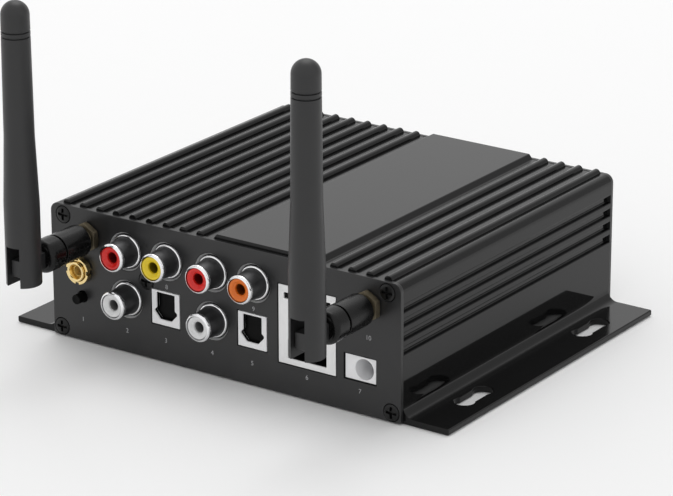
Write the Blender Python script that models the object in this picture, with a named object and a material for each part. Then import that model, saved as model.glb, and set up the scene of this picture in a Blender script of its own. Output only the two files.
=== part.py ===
"""Small network audio receiver: ribbed housing, connector panel and two hinged antennas.

Metres, +Z up. The connector panel faces -Y, the ribs run along Y and the mounting flanges stand out
to both sides along X. The origin is the centre of the housing's underside.
"""

import math

import bmesh
import bpy
from mathutils import Vector
from mathutils.geometry import interpolate_bezier

MM = 0.001

# Clearances
GAP = 0.3 * MM  # between neighbouring pieces
SNUG = 0.15 * MM  # round insert in its sleeve

# Mesh fineness
ROUND_STEPS = 20
SMALL_STEPS = 14
CORNER_STEPS = 4
SHARP_ANGLE = math.radians(35)
WELD = 0.001 * MM

# Housing
BODY_WIDTH = 120 * MM
BODY_HEIGHT = 40.3 * MM  # underside to the top of the end panels
BODY_DEPTH = 111 * MM  # over both end panels
BODY_CORNER = 2.5 * MM
WALL = 3.0 * MM
ROOF = 2.3 * MM
FLOOR = 2.5 * MM
RAIL_REACH = 2.4 * MM
RAIL_HEIGHT = 1.2 * MM

# Ribs and flat band on the roof
RIB_WIDTH = 2.15 * MM
RIB_HEIGHT = 1.55 * MM
RIB_PITCH = 5.9 * MM
RIB_EDGE = 5.0 * MM  # side of the housing to the outermost rib's centre
RIB_STEPS = 6
VALLEY_DROP = 0.35 * MM  # top of the end panels down to the valleys between the ribs
BAND_CENTRE = 15 * MM
BAND_WIDTH = 34 * MM
BAND_HEIGHT = 1.4 * MM  # above the end panels
BAND_CHAMFER = 1.2 * MM
BAND_VALLEY = 2.0 * MM  # least flat valley beside the band

# Grooves in the side walls
GROOVE_COUNT = 4
GROOVE_PITCH = 4.05 * MM
GROOVE_HEIGHT = 2.2 * MM
GROOVE_DEPTH = 0.9 * MM
GROOVE_DROP = 6.1 * MM  # top of the end panels down to the highest groove

# Mounting flanges with double keyholes
FLANGE_WIDTH = 14.65 * MM
FLANGE_THICKNESS = 1.75 * MM
FLANGE_FILLET = 2.0 * MM
KEYHOLE_OFFSET = 7.3 * MM  # side wall to the keyhole's middle
KEYHOLE_SPACING = 62.4 * MM
KEYHOLE_SHIFT = 0.9 * MM  # of both keyholes away from the connector panel
KEYHOLE_LOBE = 2.95 * MM
KEYHOLE_LOBE_SPACING = 9.6 * MM
KEYHOLE_WAIST = 4.9 * MM

# End panels
PANEL_THICKNESS = 1.0 * MM
PANEL_LIFT = 0.2 * MM  # underside of the housing to the edge of a panel
PANEL_FOOT_CORNER = 0.5 * MM

# Countersunk cross-head screws
SCREW_HEAD = 2.4 * MM
SCREW_CROWN = 0.3 * MM
SCREW_DOME = 1.6 * MM  # where the crown starts to fall away
SCREW_DOME_HEIGHT = 0.24 * MM
SCREW_LAND = 0.15 * MM
SCREW_SHANK = 1.25 * MM
SCREW_LENGTH = 9.0 * MM
SCREW_POINT = 0.8 * MM
CROSS_REACH = 1.5 * MM
CROSS_WIDTH = 0.7 * MM
CROSS_DEPTH = 0.8 * MM
SCREW_BOSS = 2.3 * MM
UPPER_SCREW_INSET = 4.5 * MM  # side of the housing to the screw
UPPER_SCREW_DROP = 3.1 * MM  # top of the end panels down to the screw
LOWER_SCREW_INSET = 3.0 * MM
LOWER_SCREW_HEIGHT = 2.9 * MM

# Free spaces across the connector panel, left to right, shared out again when the width changes
LEFT_SPACE = 1.3 * MM  # board rail to the trigger jack
ANTENNA_SPACE = 3.5 * MM  # left antenna's shoulder to the first phono block
PHONO_SPACE = 3.65 * MM  # between the phono blocks
LAN_SPACE = 2.35 * MM  # second phono block to the network socket
DC_SPACE = 2.95 * MM  # network socket to the power socket
RIGHT_SPACE = 2.75 * MM  # power socket to the board rail

# Free heights inside the housing, from below, shared out again when the height changes
BOARD_SPACE = 2.15 * MM  # lower screw bosses to the board
OPTICAL_SPACE = 1.9 * MM  # seat on the board to the optical sockets
HEAD_SPACE = 1.5 * MM  # phono blocks to the ceiling

# Circuit board
BOARD_THICKNESS = 1.6 * MM

# Phono jacks: two groups of three
PHONO_PITCH_X = 14.4 * MM
PHONO_PITCH_Z = 14.25 * MM
PHONO_REACH = 7.05 * MM
PHONO_NECK = 3.85 * MM  # behind the collar
PHONO_BARREL = 4.45 * MM  # at the flange
PHONO_COLLAR = 4.2 * MM
PHONO_COLLAR_LENGTH = 1.8 * MM
PHONO_EDGE = 0.25 * MM
PHONO_BORE = 3.45 * MM
PHONO_FLANGE = 4.95 * MM
PHONO_FLANGE_DROP = 0.25 * MM
PHONO_HOLE_GAP = 0.92 * MM
PHONO_INSERT_DROP = 0.3 * MM
PHONO_FUNNEL = 2.75 * MM
PHONO_FUNNEL_DEPTH = 1.0 * MM
PHONO_SOCKET = 1.65 * MM
PHONO_FLOOR = 2.0 * MM
PHONO_BLOCK_MARGIN = 6.0 * MM
PHONO_BLOCK_DEPTH = 12 * MM
PHONO_SCREW_X = 7.2 * MM  # from the group's first column
PHONO_SCREW_Z = 7.05 * MM  # above the lower jack

# Optical sockets with a hinged shutter
OPTICAL_WIDTH = 9.7 * MM
OPTICAL_HEIGHT = 10.2 * MM
OPTICAL_SHIFT = -0.6 * MM  # from the jack above
OPTICAL_DROP = 0.1 * MM
OPTICAL_DEPTH = 12 * MM
OPTICAL_LIP = 1.0 * MM
OPTICAL_SIDE = 0.65 * MM
OPTICAL_MOUTH_TOP = 0.6 * MM
OPTICAL_MOUTH_BOTTOM = 1.6 * MM
OPTICAL_MOUTH_HALF = 3.15 * MM
OPTICAL_KEY_HALF = 3.9 * MM
OPTICAL_KEY_HEIGHT = 4.3 * MM
OPTICAL_KEY_SIZE = 1.2 * MM
OPTICAL_SILL_HALF = 1.95 * MM
SHUTTER_THICKNESS = 0.8 * MM
SHUTTER_AXIS_DROP = 0.7 * MM

# Stacked network and universal serial bus socket
LAN_WIDTH = 19.1 * MM
LAN_HEIGHT = 22.95 * MM
LAN_DROP = 0.1 * MM
LAN_DEPTH = 16 * MM
PORT_WIDTH = 12.0 * MM
PORT_HEIGHT = 7.0 * MM
PORT_SILL = 10.95 * MM  # above the underside of the shield
LATCH_WIDTH = 6.2 * MM
LATCH_HEIGHT = 2.0 * MM
LIGHT_OFFSET = 6.25 * MM
LIGHT_WIDTH = 3.0 * MM
LIGHT_HEIGHT = 1.8 * MM
LIGHT_SILL = 19.05 * MM
BUS_WIDTH = 12.85 * MM
BUS_HEIGHT = 5.6 * MM
BUS_SILL = 1.75 * MM
TONGUE_SETBACK = 2.0 * MM
TONGUE_THICKNESS = 1.8 * MM
SOCKET_BACK = 6.0 * MM  # rear plug of each socket
CONTACT_SETBACK = 3.0 * MM
CONTACT_THICKNESS = 1.2 * MM

# Power socket
DC_WIDTH = 10.2 * MM
DC_HEIGHT = 7.15 * MM
DC_SILL = 0.4 * MM  # above the other connectors' seat
DC_DROP = 0.4 * MM
DC_DEPTH = 13 * MM
DC_BORE = 3.15 * MM
DC_BORE_SHIFT = 1.2 * MM
DC_BORE_DEPTH = 10 * MM
DC_PIN = 1.0 * MM
DC_PIN_DROP = 4.3 * MM

# Trigger jack held by a notched ring nut
TRIGGER_RISE = 5.65 * MM  # above the lower phono jacks
TRIGGER_BARREL = 2.9 * MM
TRIGGER_REACH = 3.0 * MM
TRIGGER_EDGE = 0.4 * MM
TRIGGER_BORE = 1.75 * MM
TRIGGER_BORE_DEPTH = 12 * MM
TRIGGER_CAN = 4.0 * MM
TRIGGER_CAN_DEPTH = 11 * MM
TRIGGER_BACK = 1.5 * MM
NUT_RADIUS = 4.0 * MM
NUT_THICKNESS = 1.9 * MM
NUT_NOTCHES = 4
NUT_NOTCH_WIDTH = 1.2 * MM
NUT_NOTCH_DEPTH = 0.6 * MM

# Reset push button
RESET_SHIFT = 0.1 * MM  # from the trigger jack
RESET_DROP = 2.65 * MM  # below the lower phono jacks
RESET_RADIUS = 1.45 * MM
RESET_REACH = 3.1 * MM
RESET_EDGE = 0.2 * MM
RESET_TRAVEL = 0.3 * MM
SWITCH_WIDTH = 6.0 * MM
SWITCH_DEPTH = 5.0 * MM
SWITCH_MARGIN = 1.7 * MM
SWITCH_POCKET = 2.4 * MM
SWITCH_GRIP = 1.5 * MM  # length of the button inside the pocket

# Antennas
LEFT_ANTENNA_SHIFT = 2.7 * MM  # from the trigger jack
RIGHT_ANTENNA_INSET = 10.5 * MM  # side of the housing to the antenna
ANTENNA_DROP = 7.9 * MM  # top of the end panels down to the antennas
THREAD = 3.1 * MM
THREAD_REACH = 9.0 * MM
SHOULDER = 3.9 * MM
SHOULDER_LENGTH = 2.2 * MM
TAIL = 1.6 * MM
TAIL_LENGTH = 5.5 * MM
HEX_ACROSS = 8.0 * MM
HEX_THICKNESS = 2.2 * MM
COUPLING_NEAR = 4.3 * MM  # panel to the near end of the coupling
COUPLING_FAR = 15.0 * MM
COUPLING_RADIUS = 4.7 * MM
COUPLING_EDGE = 0.4 * MM
SPIGOT = 2.6 * MM
SPIGOT_LENGTH = 4.0 * MM
KNUCKLE_RADIUS = 4.85 * MM
KNUCKLE_LENGTH = 6.0 * MM
KNUCKLE_EDGE = 1.6 * MM  # rounding of the end beside the blade
HINGE_REACH = 7.0 * MM  # knuckle shoulder to the hinge axis
TONGUE_WIDTH = 3.9 * MM
TONGUE_FRONT = 3.05 * MM  # hinge axis to the tongue's end
TONGUE_ABOVE = 2.0 * MM
TONGUE_BELOW = 2.8 * MM
TONGUE_EDGE = 0.3 * MM
TONGUE_ROOT = 1.0 * MM
HINGE_PIN = 0.9 * MM
HINGE_PIN_HALF = 3.5 * MM
BLADE_FOOT = 5.35 * MM  # hinge axis down to the blade's foot
BLADE_SWING = 6.5 * MM  # radius of the foot's rear about the hinge axis
BLADE_SLOT_TOP = 6.3 * MM
BLADE_TOP = 75.9 * MM  # hinge axis up to the tip
BLADE_FOOT_RADIUS = 5.0 * MM
BLADE_TAPER_START = 18.4 * MM
BLADE_WAIST_RADIUS = 4.28 * MM
BLADE_WAIST = 37.6 * MM
BLADE_TOP_RADIUS = 4.0 * MM
BLADE_DOME_STEPS = 5
BLADE_BOTTOM_EDGE = 0.25 * MM
RING_DROPS = (8.4 * MM, 9.9 * MM)  # tip down to each ring groove
RING_DEPTH = 0.4 * MM
RING_WIDTH = 0.55 * MM

# Parts on the board
MODULE_CENTRE = (18 * MM, 24 * MM)
MODULE_SIZE = (30 * MM, 20 * MM, 3 * MM)
LEAD_RADIUS = 0.9 * MM
LEAD_STEPS = 23
LEAD_LANDING = 10 * MM  # module centre to each lead along X
LEAD_RUN = 35 * MM
LEAD_DROP = 20 * MM
CHIP_CENTRE = (-18 * MM, 12 * MM)
CHIP_SIZE = (20 * MM, 20 * MM, 2 * MM)
POWER_INSET = 10.6 * MM  # board rail to the middle of the power parts
COIL_Y = -22 * MM
COIL_SIZE = (12 * MM, 12 * MM, 6 * MM)
CAPACITOR_Y = 0 * MM
CAPACITOR_RADIUS = 5 * MM
CAPACITOR_HEIGHT = 12 * MM
CAPACITOR_EDGE = 0.6 * MM


def spread(start, end, sizes, spaces):
    """Near edges of items set in a row, with the room that they leave shared among the spaces."""
    stretch = (end - start - sum(sizes)) / sum(spaces)
    edges = []
    for size, space in zip(sizes, spaces):
        start += space * stretch
        edges.append(start)
        start += size
    return edges


# Places worked out from the sizes above
HALF_WIDTH = BODY_WIDTH / 2
SHELL_HALF = BODY_DEPTH / 2 - PANEL_THICKNESS - GAP
INSIDE_X = HALF_WIDTH - WALL
RAIL_X = INSIDE_X - RAIL_REACH
CEILING = BODY_HEIGHT - ROOF
BEHIND_PANEL = PANEL_THICKNESS + GAP
SCREW_HOLE = SCREW_SHANK + GAP
UPPER_SCREW = (HALF_WIDTH - UPPER_SCREW_INSET, BODY_HEIGHT - UPPER_SCREW_DROP)
LOWER_SCREW = (HALF_WIDTH - LOWER_SCREW_INSET, LOWER_SCREW_HEIGHT)

# Heights of the board and of the two rows of connectors
BOARD_HEIGHT, OPTICAL_BOTTOM = spread(
    LOWER_SCREW_HEIGHT + SCREW_BOSS,
    CEILING,
    (BOARD_THICKNESS + GAP, OPTICAL_HEIGHT / 2 + PHONO_PITCH_Z + PHONO_BLOCK_MARGIN),
    (BOARD_SPACE, OPTICAL_SPACE, HEAD_SPACE),
)
BOARD_TOP = BOARD_HEIGHT + BOARD_THICKNESS
SEAT = BOARD_TOP + GAP
OPTICAL_TOP = OPTICAL_BOTTOM + OPTICAL_HEIGHT
PHONO_LOWER_Z = OPTICAL_BOTTOM + OPTICAL_HEIGHT / 2
PHONO_UPPER_Z = PHONO_LOWER_Z + PHONO_PITCH_Z
TRIGGER_Z = PHONO_LOWER_Z + TRIGGER_RISE
RESET_Z = PHONO_LOWER_Z - RESET_DROP
ANTENNA_Z = BODY_HEIGHT - ANTENNA_DROP

# Connectors across the panel, as left edges
TRIGGER_AND_ANTENNA = TRIGGER_CAN + LEFT_ANTENNA_SHIFT + SHOULDER
PHONO_GROUP = PHONO_PITCH_X + 2 * PHONO_BLOCK_MARGIN
TRIGGER_EDGE_X, FIRST_PHONO_EDGE, SECOND_PHONO_EDGE, LAN_EDGE, DC_EDGE = spread(
    -RAIL_X,
    RAIL_X,
    (TRIGGER_AND_ANTENNA, PHONO_GROUP, PHONO_GROUP, LAN_WIDTH, DC_WIDTH),
    (LEFT_SPACE, ANTENNA_SPACE, PHONO_SPACE, LAN_SPACE, DC_SPACE, RIGHT_SPACE),
)
TRIGGER_X = TRIGGER_EDGE_X + TRIGGER_CAN
RESET_X = TRIGGER_X + RESET_SHIFT
LEFT_ANTENNA_X = TRIGGER_X + LEFT_ANTENNA_SHIFT
RIGHT_ANTENNA_X = HALF_WIDTH - RIGHT_ANTENNA_INSET
PHONO_COLUMNS = [edge + PHONO_BLOCK_MARGIN for edge in (FIRST_PHONO_EDGE, SECOND_PHONO_EDGE)]
LAN_X = LAN_EDGE + LAN_WIDTH / 2
DC_X = DC_EDGE + DC_WIDTH / 2
DC_BOTTOM = SEAT + DC_SILL
DC_BORE_Z = DC_BOTTOM + DC_HEIGHT / 2
KNUCKLE_NEAR = COUPLING_FAR + GAP
KNUCKLE_FAR = KNUCKLE_NEAR + KNUCKLE_LENGTH
HINGE_Y = -(KNUCKLE_FAR + HINGE_REACH)


# Outlines
def arc(centre, radius, start, end, steps=CORNER_STEPS):
    """Points on a circle from one angle to another, in degrees, both ends included."""
    turn = math.radians(end - start) / steps
    angles = [math.radians(start) + turn * step for step in range(steps + 1)]
    return [(centre[0] + radius * math.cos(a), centre[1] + radius * math.sin(a)) for a in angles]


def circle(centre, radius, steps=ROUND_STEPS):
    return arc(centre, radius, 0, 360, steps)[:-1]


def rectangle(left, right, bottom, top):
    return [(left, bottom), (right, bottom), (right, top), (left, top)]


def centred(centre, width, height):
    """Rectangle about its middle."""
    return rectangle(
        centre[0] - width / 2, centre[0] + width / 2, centre[1] - height / 2, centre[1] + height / 2
    )


def mirrored(points):
    """The same points on the other side of x = 0, in the opposite order."""
    return [(-x, z) for x, z in reversed(points)]


# Shapes
def point_on(axis, across, up, along):
    """A point given by its place in an outline and its place along an axis."""
    return {"X": (along, across, up), "Y": (across, along, up), "Z": (across, up, along)}[axis]


def prism(loops, start, end, axis="Y"):
    """Outline with holes, drawn square to the axis and extruded along it."""
    shape = bmesh.new()
    for loop in loops:
        corners = [shape.verts.new(point_on(axis, across, up, start)) for across, up in loop]
        for first, second in zip(corners, corners[1:] + corners[:1]):
            shape.edges.new((first, second))
    bmesh.ops.triangle_fill(shape, use_beauty=True, edges=shape.edges[:])
    raised = bmesh.ops.extrude_face_region(shape, geom=shape.faces[:])["geom"]
    moved = [item for item in raised if isinstance(item, bmesh.types.BMVert)]
    bmesh.ops.translate(shape, verts=moved, vec=point_on(axis, 0, 0, end - start))
    return shape


def turned(profile, axis="Y", ring=False, steps=ROUND_STEPS):
    """Profile of (radius, place along the axis) spun about the axis; a ring's profile is closed."""
    shape = bmesh.new()
    corners = [shape.verts.new(point_on(axis, radius, 0, along)) for radius, along in profile]
    pairs = list(zip(corners, corners[1:]))
    if ring:
        pairs.append((corners[-1], corners[0]))
    edges = [shape.edges.new(pair) for pair in pairs]
    bmesh.ops.spin(
        shape,
        geom=corners + edges,
        cent=(0, 0, 0),
        axis=point_on(axis, 0, 0, 1),
        angle=math.tau,
        steps=steps,
    )
    bmesh.ops.remove_doubles(shape, verts=shape.verts[:], dist=WELD)
    return shape


def moved_copies(make_shape, places):
    """One mesh holding a copy of a shape at each place."""
    whole = bmesh.new()
    scratch = bpy.data.meshes.new("scratch")
    for place in places:
        shape = make_shape()
        bmesh.ops.translate(shape, verts=shape.verts[:], vec=place)
        shape.to_mesh(scratch)
        shape.free()
        whole.from_mesh(scratch)
    bpy.data.meshes.remove(scratch)
    return whole


def mesh_of(shape, name, look=None):
    bmesh.ops.recalc_face_normals(shape, faces=shape.faces[:])
    mesh = bpy.data.meshes.new(name)
    shape.to_mesh(mesh)
    shape.free()
    mesh.shade_smooth()
    mesh.set_sharp_from_angle(angle=SHARP_ANGLE)
    if look:
        mesh.materials.append(look)
    return mesh


# Objects
def link(name, data, parent, place):
    thing = bpy.data.objects.new(name, data)
    thing.parent = parent
    thing.location = place
    bpy.context.collection.objects.link(thing)
    return thing


def marker(name, parent, place):
    """Empty that carries pieces or marks an axis."""
    return link(name, None, parent, place)


def add(name, shape, look, parent, place=(0, 0, 0)):
    return link(name, mesh_of(shape, name, look), parent, place)


def combine(piece, shape, operation="DIFFERENCE"):
    """Cut a shape out of a piece, or join it on; the shape is given in the piece's own frame."""
    tool = link(piece.name + "_tool", mesh_of(shape, piece.name + "_tool"), piece, (0, 0, 0))
    tool.hide_render = True
    tool.display_type = "WIRE"
    change = piece.modifiers.new(operation.lower(), "BOOLEAN")
    change.operation = operation
    change.solver = "EXACT"
    change.object = tool


def look_of(name, colour, roughness, metallic=0.0):
    look = bpy.data.materials.new(name)
    look.use_nodes = True
    shader = look.node_tree.nodes["Principled BSDF"]
    shader.inputs["Base Color"].default_value = (*colour, 1)
    shader.inputs["Roughness"].default_value = roughness
    shader.inputs["Metallic"].default_value = metallic
    return look


# Housing
def rib_row(side, inner_edge):
    """Rib centres from the outermost one inward, as many as fit before the band."""
    outermost = HALF_WIDTH - RIB_EDGE
    room = outermost - inner_edge - BAND_CHAMFER - BAND_VALLEY - RIB_WIDTH / 2
    return [side * (outermost - index * RIB_PITCH) for index in range(int(room / RIB_PITCH) + 1)]


def roof_outline():
    """Ribs and band from right to left."""
    valley = BODY_HEIGHT - VALLEY_DROP
    crest = BODY_HEIGHT + BAND_HEIGHT
    band_left = BAND_CENTRE - BAND_WIDTH / 2
    band_right = BAND_CENTRE + BAND_WIDTH / 2

    def rib(x):
        angles = [math.pi * step / RIB_STEPS for step in range(RIB_STEPS + 1)]
        half = RIB_WIDTH / 2
        return [(x + half * math.cos(a), valley + RIB_HEIGHT * math.sin(a)) for a in angles]

    points = [point for x in rib_row(1, band_right) for point in rib(x)]
    points += [(band_right + BAND_CHAMFER, valley), (band_right, crest)]
    points += [(band_left, crest), (band_left - BAND_CHAMFER, valley)]
    points += [point for x in reversed(rib_row(-1, -band_left)) for point in rib(x)]
    return points


def wall_outline():
    """Right flange and side wall from the underside up to the roof."""
    tip = HALF_WIDTH + FLANGE_WIDTH
    points = [(tip, 0), (tip, FLANGE_THICKNESS)]
    fillet_centre = (HALF_WIDTH + FLANGE_FILLET, FLANGE_THICKNESS + FLANGE_FILLET)
    points += arc(fillet_centre, FLANGE_FILLET, 270, 180)
    bottom_of_groove = HALF_WIDTH - GROOVE_DEPTH
    for index in reversed(range(GROOVE_COUNT)):
        top = BODY_HEIGHT - GROOVE_DROP - index * GROOVE_PITCH
        ledge = top - GROOVE_HEIGHT
        points += [(HALF_WIDTH, ledge), (bottom_of_groove, ledge)]
        points += [(bottom_of_groove, top), (HALF_WIDTH, top)]
    points += arc((HALF_WIDTH - BODY_CORNER, BODY_HEIGHT - BODY_CORNER), BODY_CORNER, 0, 90)
    return points


def cavity_outline():
    """Inside of the housing with its screw bosses and the slots that hold the board."""
    foot_x = LOWER_SCREW[0] - SCREW_BOSS
    foot_z = BOARD_HEIGHT - GAP
    boss_x = UPPER_SCREW[0] - SCREW_BOSS
    boss_z = UPPER_SCREW[1] - SCREW_BOSS
    rail_top = SEAT + RAIL_HEIGHT
    points = [(foot_x, FLOOR), (foot_x, foot_z), (INSIDE_X, foot_z)]
    points += [(INSIDE_X, SEAT), (RAIL_X, SEAT), (RAIL_X, rail_top), (INSIDE_X, rail_top)]
    points += [(INSIDE_X, boss_z), (boss_x, boss_z), (boss_x, CEILING)]
    return points + mirrored(points)


def keyhole(place):
    """Two round lobes joined by a waist, along Y."""
    half_waist = KEYHOLE_WAIST / 2
    reach = math.degrees(math.asin(half_waist / KEYHOLE_LOBE))
    lobe_y = KEYHOLE_LOBE_SPACING / 2
    far_lobe = arc((place[0], place[1] + lobe_y), KEYHOLE_LOBE, reach - 90, 270 - reach, ROUND_STEPS)
    near_lobe = arc((place[0], place[1] - lobe_y), KEYHOLE_LOBE, reach + 90, 450 - reach, ROUND_STEPS)
    return prism([far_lobe + near_lobe], -FLANGE_THICKNESS, 2 * FLANGE_THICKNESS, "Z")


def screw_places():
    """Corner screws of an end panel."""
    return [(side * x, z) for x, z in (UPPER_SCREW, LOWER_SCREW) for side in (-1, 1)]


def build_housing(base, look):
    outer = wall_outline() + roof_outline() + mirrored(wall_outline())
    holes = [circle(place, SCREW_HOLE, SMALL_STEPS) for place in screw_places()]
    housing = add("housing", prism([outer, cavity_outline()] + holes, -SHELL_HALF, SHELL_HALF), look, base)
    x = HALF_WIDTH + KEYHOLE_OFFSET
    for side in (-1, 1):
        for end in (-1, 1):
            combine(housing, keyhole((side * x, end * KEYHOLE_SPACING / 2 + KEYHOLE_SHIFT)))


# End panels and their screws
def panel_outline():
    foot = PANEL_FOOT_CORNER
    points = arc((HALF_WIDTH - foot, PANEL_LIFT + foot), foot, -90, 0)
    points += arc((HALF_WIDTH - BODY_CORNER, BODY_HEIGHT - BODY_CORNER), BODY_CORNER, 0, 90)
    return points + mirrored(points)


def countersink():
    """Room for one screw in a panel."""
    mouth = SCREW_HEAD + GAP
    depth = SCREW_LAND + mouth - SCREW_HOLE
    past = BEHIND_PANEL + GAP
    profile = [(0, -GAP), (mouth, -GAP), (mouth, SCREW_LAND)]
    return turned(profile + [(SCREW_HOLE, depth), (SCREW_HOLE, past), (0, past)], steps=SMALL_STEPS)


def screw():
    cone = SCREW_LAND + SCREW_HEAD - SCREW_SHANK
    profile = [(0, -SCREW_CROWN), (SCREW_DOME, -SCREW_DOME_HEIGHT)]
    profile += [(SCREW_HEAD, 0), (SCREW_HEAD, SCREW_LAND)]
    profile += [(SCREW_SHANK, cone), (SCREW_SHANK, SCREW_LENGTH - SCREW_POINT), (0, SCREW_LENGTH)]
    return turned(profile, steps=SMALL_STEPS)


def cross_recess():
    half = CROSS_WIDTH / 2
    quarter = [(half, -CROSS_REACH), (half, -half), (CROSS_REACH, -half)]
    outline = quarter + [(x, -z) for x, z in reversed(quarter)]
    return prism([outline + [(-x, -z) for x, z in outline]], -2 * SCREW_CROWN, CROSS_DEPTH - SCREW_CROWN)


def build_screw(name, look, face, place):
    piece = add(name, screw(), look, face, (place[0], 0, place[1]))
    combine(piece, cross_recess())


def build_panel(name, openings, extra_screws, looks, face):
    panel = add(name, prism([panel_outline()] + openings, 0, PANEL_THICKNESS), looks["panel"], face)
    places = screw_places()
    combine(panel, moved_copies(countersink, [(x, 0, z) for x, z in places + extra_screws]))
    for number, place in enumerate(places, 1):
        build_screw(f"{name}_screw_{number}", looks["screw"], face, place)


# Phono jacks
def phono_groups():
    """For each group: its first column, and the jacks as (x, z, colour of the insert)."""
    colours = (("red", "yellow", "white"), ("red", "orange", "white"))
    for x, (near, far, low) in zip(PHONO_COLUMNS, colours):
        second = x + PHONO_PITCH_X
        yield x, [(x, PHONO_UPPER_Z, near), (second, PHONO_UPPER_Z, far), (x, PHONO_LOWER_Z, low)]


def optical_x(column):
    return column + PHONO_PITCH_X + OPTICAL_SHIFT


def phono_shell():
    front = -PHONO_REACH
    edge = PHONO_EDGE
    step = front + PHONO_COLLAR_LENGTH
    profile = [(PHONO_BORE, front + edge), (PHONO_BORE + edge, front), (PHONO_COLLAR - edge, front)]
    profile += [(PHONO_COLLAR, front + edge), (PHONO_COLLAR, step - edge), (PHONO_NECK, step)]
    profile += [(PHONO_BARREL, PHONO_FLANGE_DROP), (PHONO_FLANGE, PHONO_FLANGE_DROP)]
    return turned(profile + [(PHONO_FLANGE, PANEL_THICKNESS), (PHONO_BORE, PANEL_THICKNESS)], ring=True)


def phono_insert():
    radius = PHONO_BORE - SNUG
    front = PHONO_INSERT_DROP - PHONO_REACH
    floor = PANEL_THICKNESS - PHONO_FLOOR
    profile = [(0, PANEL_THICKNESS), (radius, PANEL_THICKNESS), (radius, front), (PHONO_FUNNEL, front)]
    profile += [(PHONO_SOCKET, front + PHONO_FUNNEL_DEPTH), (PHONO_SOCKET, floor), (0, floor)]
    return turned(profile)


def phono_block(column):
    """Upside-down L behind the panel: a column under the first jack and an arm over the optical socket."""
    left = column - PHONO_BLOCK_MARGIN
    inner = optical_x(column) - OPTICAL_WIDTH / 2 - GAP
    right = column + PHONO_PITCH_X + PHONO_BLOCK_MARGIN
    under_arm = OPTICAL_TOP + GAP
    top = PHONO_UPPER_Z + PHONO_BLOCK_MARGIN
    outline = [(left, SEAT), (inner, SEAT), (inner, under_arm)]
    outline += [(right, under_arm), (right, top), (left, top)]
    pilot = circle(phono_screw_place(column), SCREW_HOLE, SMALL_STEPS)
    return prism([outline, pilot], BEHIND_PANEL, BEHIND_PANEL + PHONO_BLOCK_DEPTH)


def phono_screw_place(column):
    return (column + PHONO_SCREW_X, PHONO_LOWER_Z + PHONO_SCREW_Z)


def build_phono(face, looks):
    number = 0
    for side, (column, jacks) in zip(("left", "right"), phono_groups()):
        add(f"phono_block_{side}", phono_block(column), looks["black_plastic"], face)
        for x, z, colour in jacks:
            number += 1
            add(f"phono_shell_{number}", phono_shell(), looks["chrome"], face, (x, 0, z))
            add(f"phono_insert_{number}", phono_insert(), looks[colour], face, (x, 0, z))


# Optical sockets
def stepped_body(front, back, bottom, top, width):
    """Block whose part behind the panel reaches down to the board; middle at x = 0."""
    outline = [(front, bottom), (BEHIND_PANEL, bottom), (BEHIND_PANEL, SEAT)]
    outline += [(back, SEAT), (back, top), (front, top)]
    return prism([outline], -width / 2, width / 2, "X")


def optical_mouth():
    top = OPTICAL_TOP - OPTICAL_MOUTH_TOP
    sill = OPTICAL_BOTTOM + OPTICAL_MOUTH_BOTTOM
    key = OPTICAL_BOTTOM + OPTICAL_KEY_HEIGHT
    half_key = OPTICAL_KEY_SIZE / 2
    right = [(OPTICAL_SILL_HALF, sill), (OPTICAL_KEY_HALF, key - half_key), (OPTICAL_KEY_HALF, key)]
    right += [(OPTICAL_MOUTH_HALF, key + half_key), (OPTICAL_MOUTH_HALF, top)]
    return right + mirrored(right)


def build_optical(name, x, face, looks):
    inner_front = OPTICAL_DROP + OPTICAL_LIP
    inner_back = OPTICAL_DEPTH - OPTICAL_LIP
    half = OPTICAL_WIDTH / 2 - OPTICAL_SIDE
    floor = OPTICAL_BOTTOM + OPTICAL_SIDE
    ceiling = OPTICAL_TOP - OPTICAL_MOUTH_TOP
    body = stepped_body(OPTICAL_DROP, OPTICAL_DEPTH, OPTICAL_BOTTOM, OPTICAL_TOP, OPTICAL_WIDTH)
    frame = add(f"{name}_frame", body, looks["grey_plastic"], face, (x, 0, 0))
    combine(frame, prism([rectangle(-half, half, floor, ceiling)], inner_front, inner_back))
    combine(frame, prism([optical_mouth()], -OPTICAL_LIP, inner_front + OPTICAL_LIP / 2))
    axis_y = inner_front + GAP + SHUTTER_THICKNESS / 2
    axis_z = ceiling - SHUTTER_AXIS_DROP
    half_thick = SHUTTER_THICKNESS / 2
    flap = rectangle(GAP - half, half - GAP, floor + GAP - axis_z, half_thick)
    hinge = marker(f"{name}_shutter_axis", face, (x, axis_y, axis_z))
    add(f"{name}_shutter", prism([flap], -half_thick, half_thick), looks["shutter"], hinge)


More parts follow.
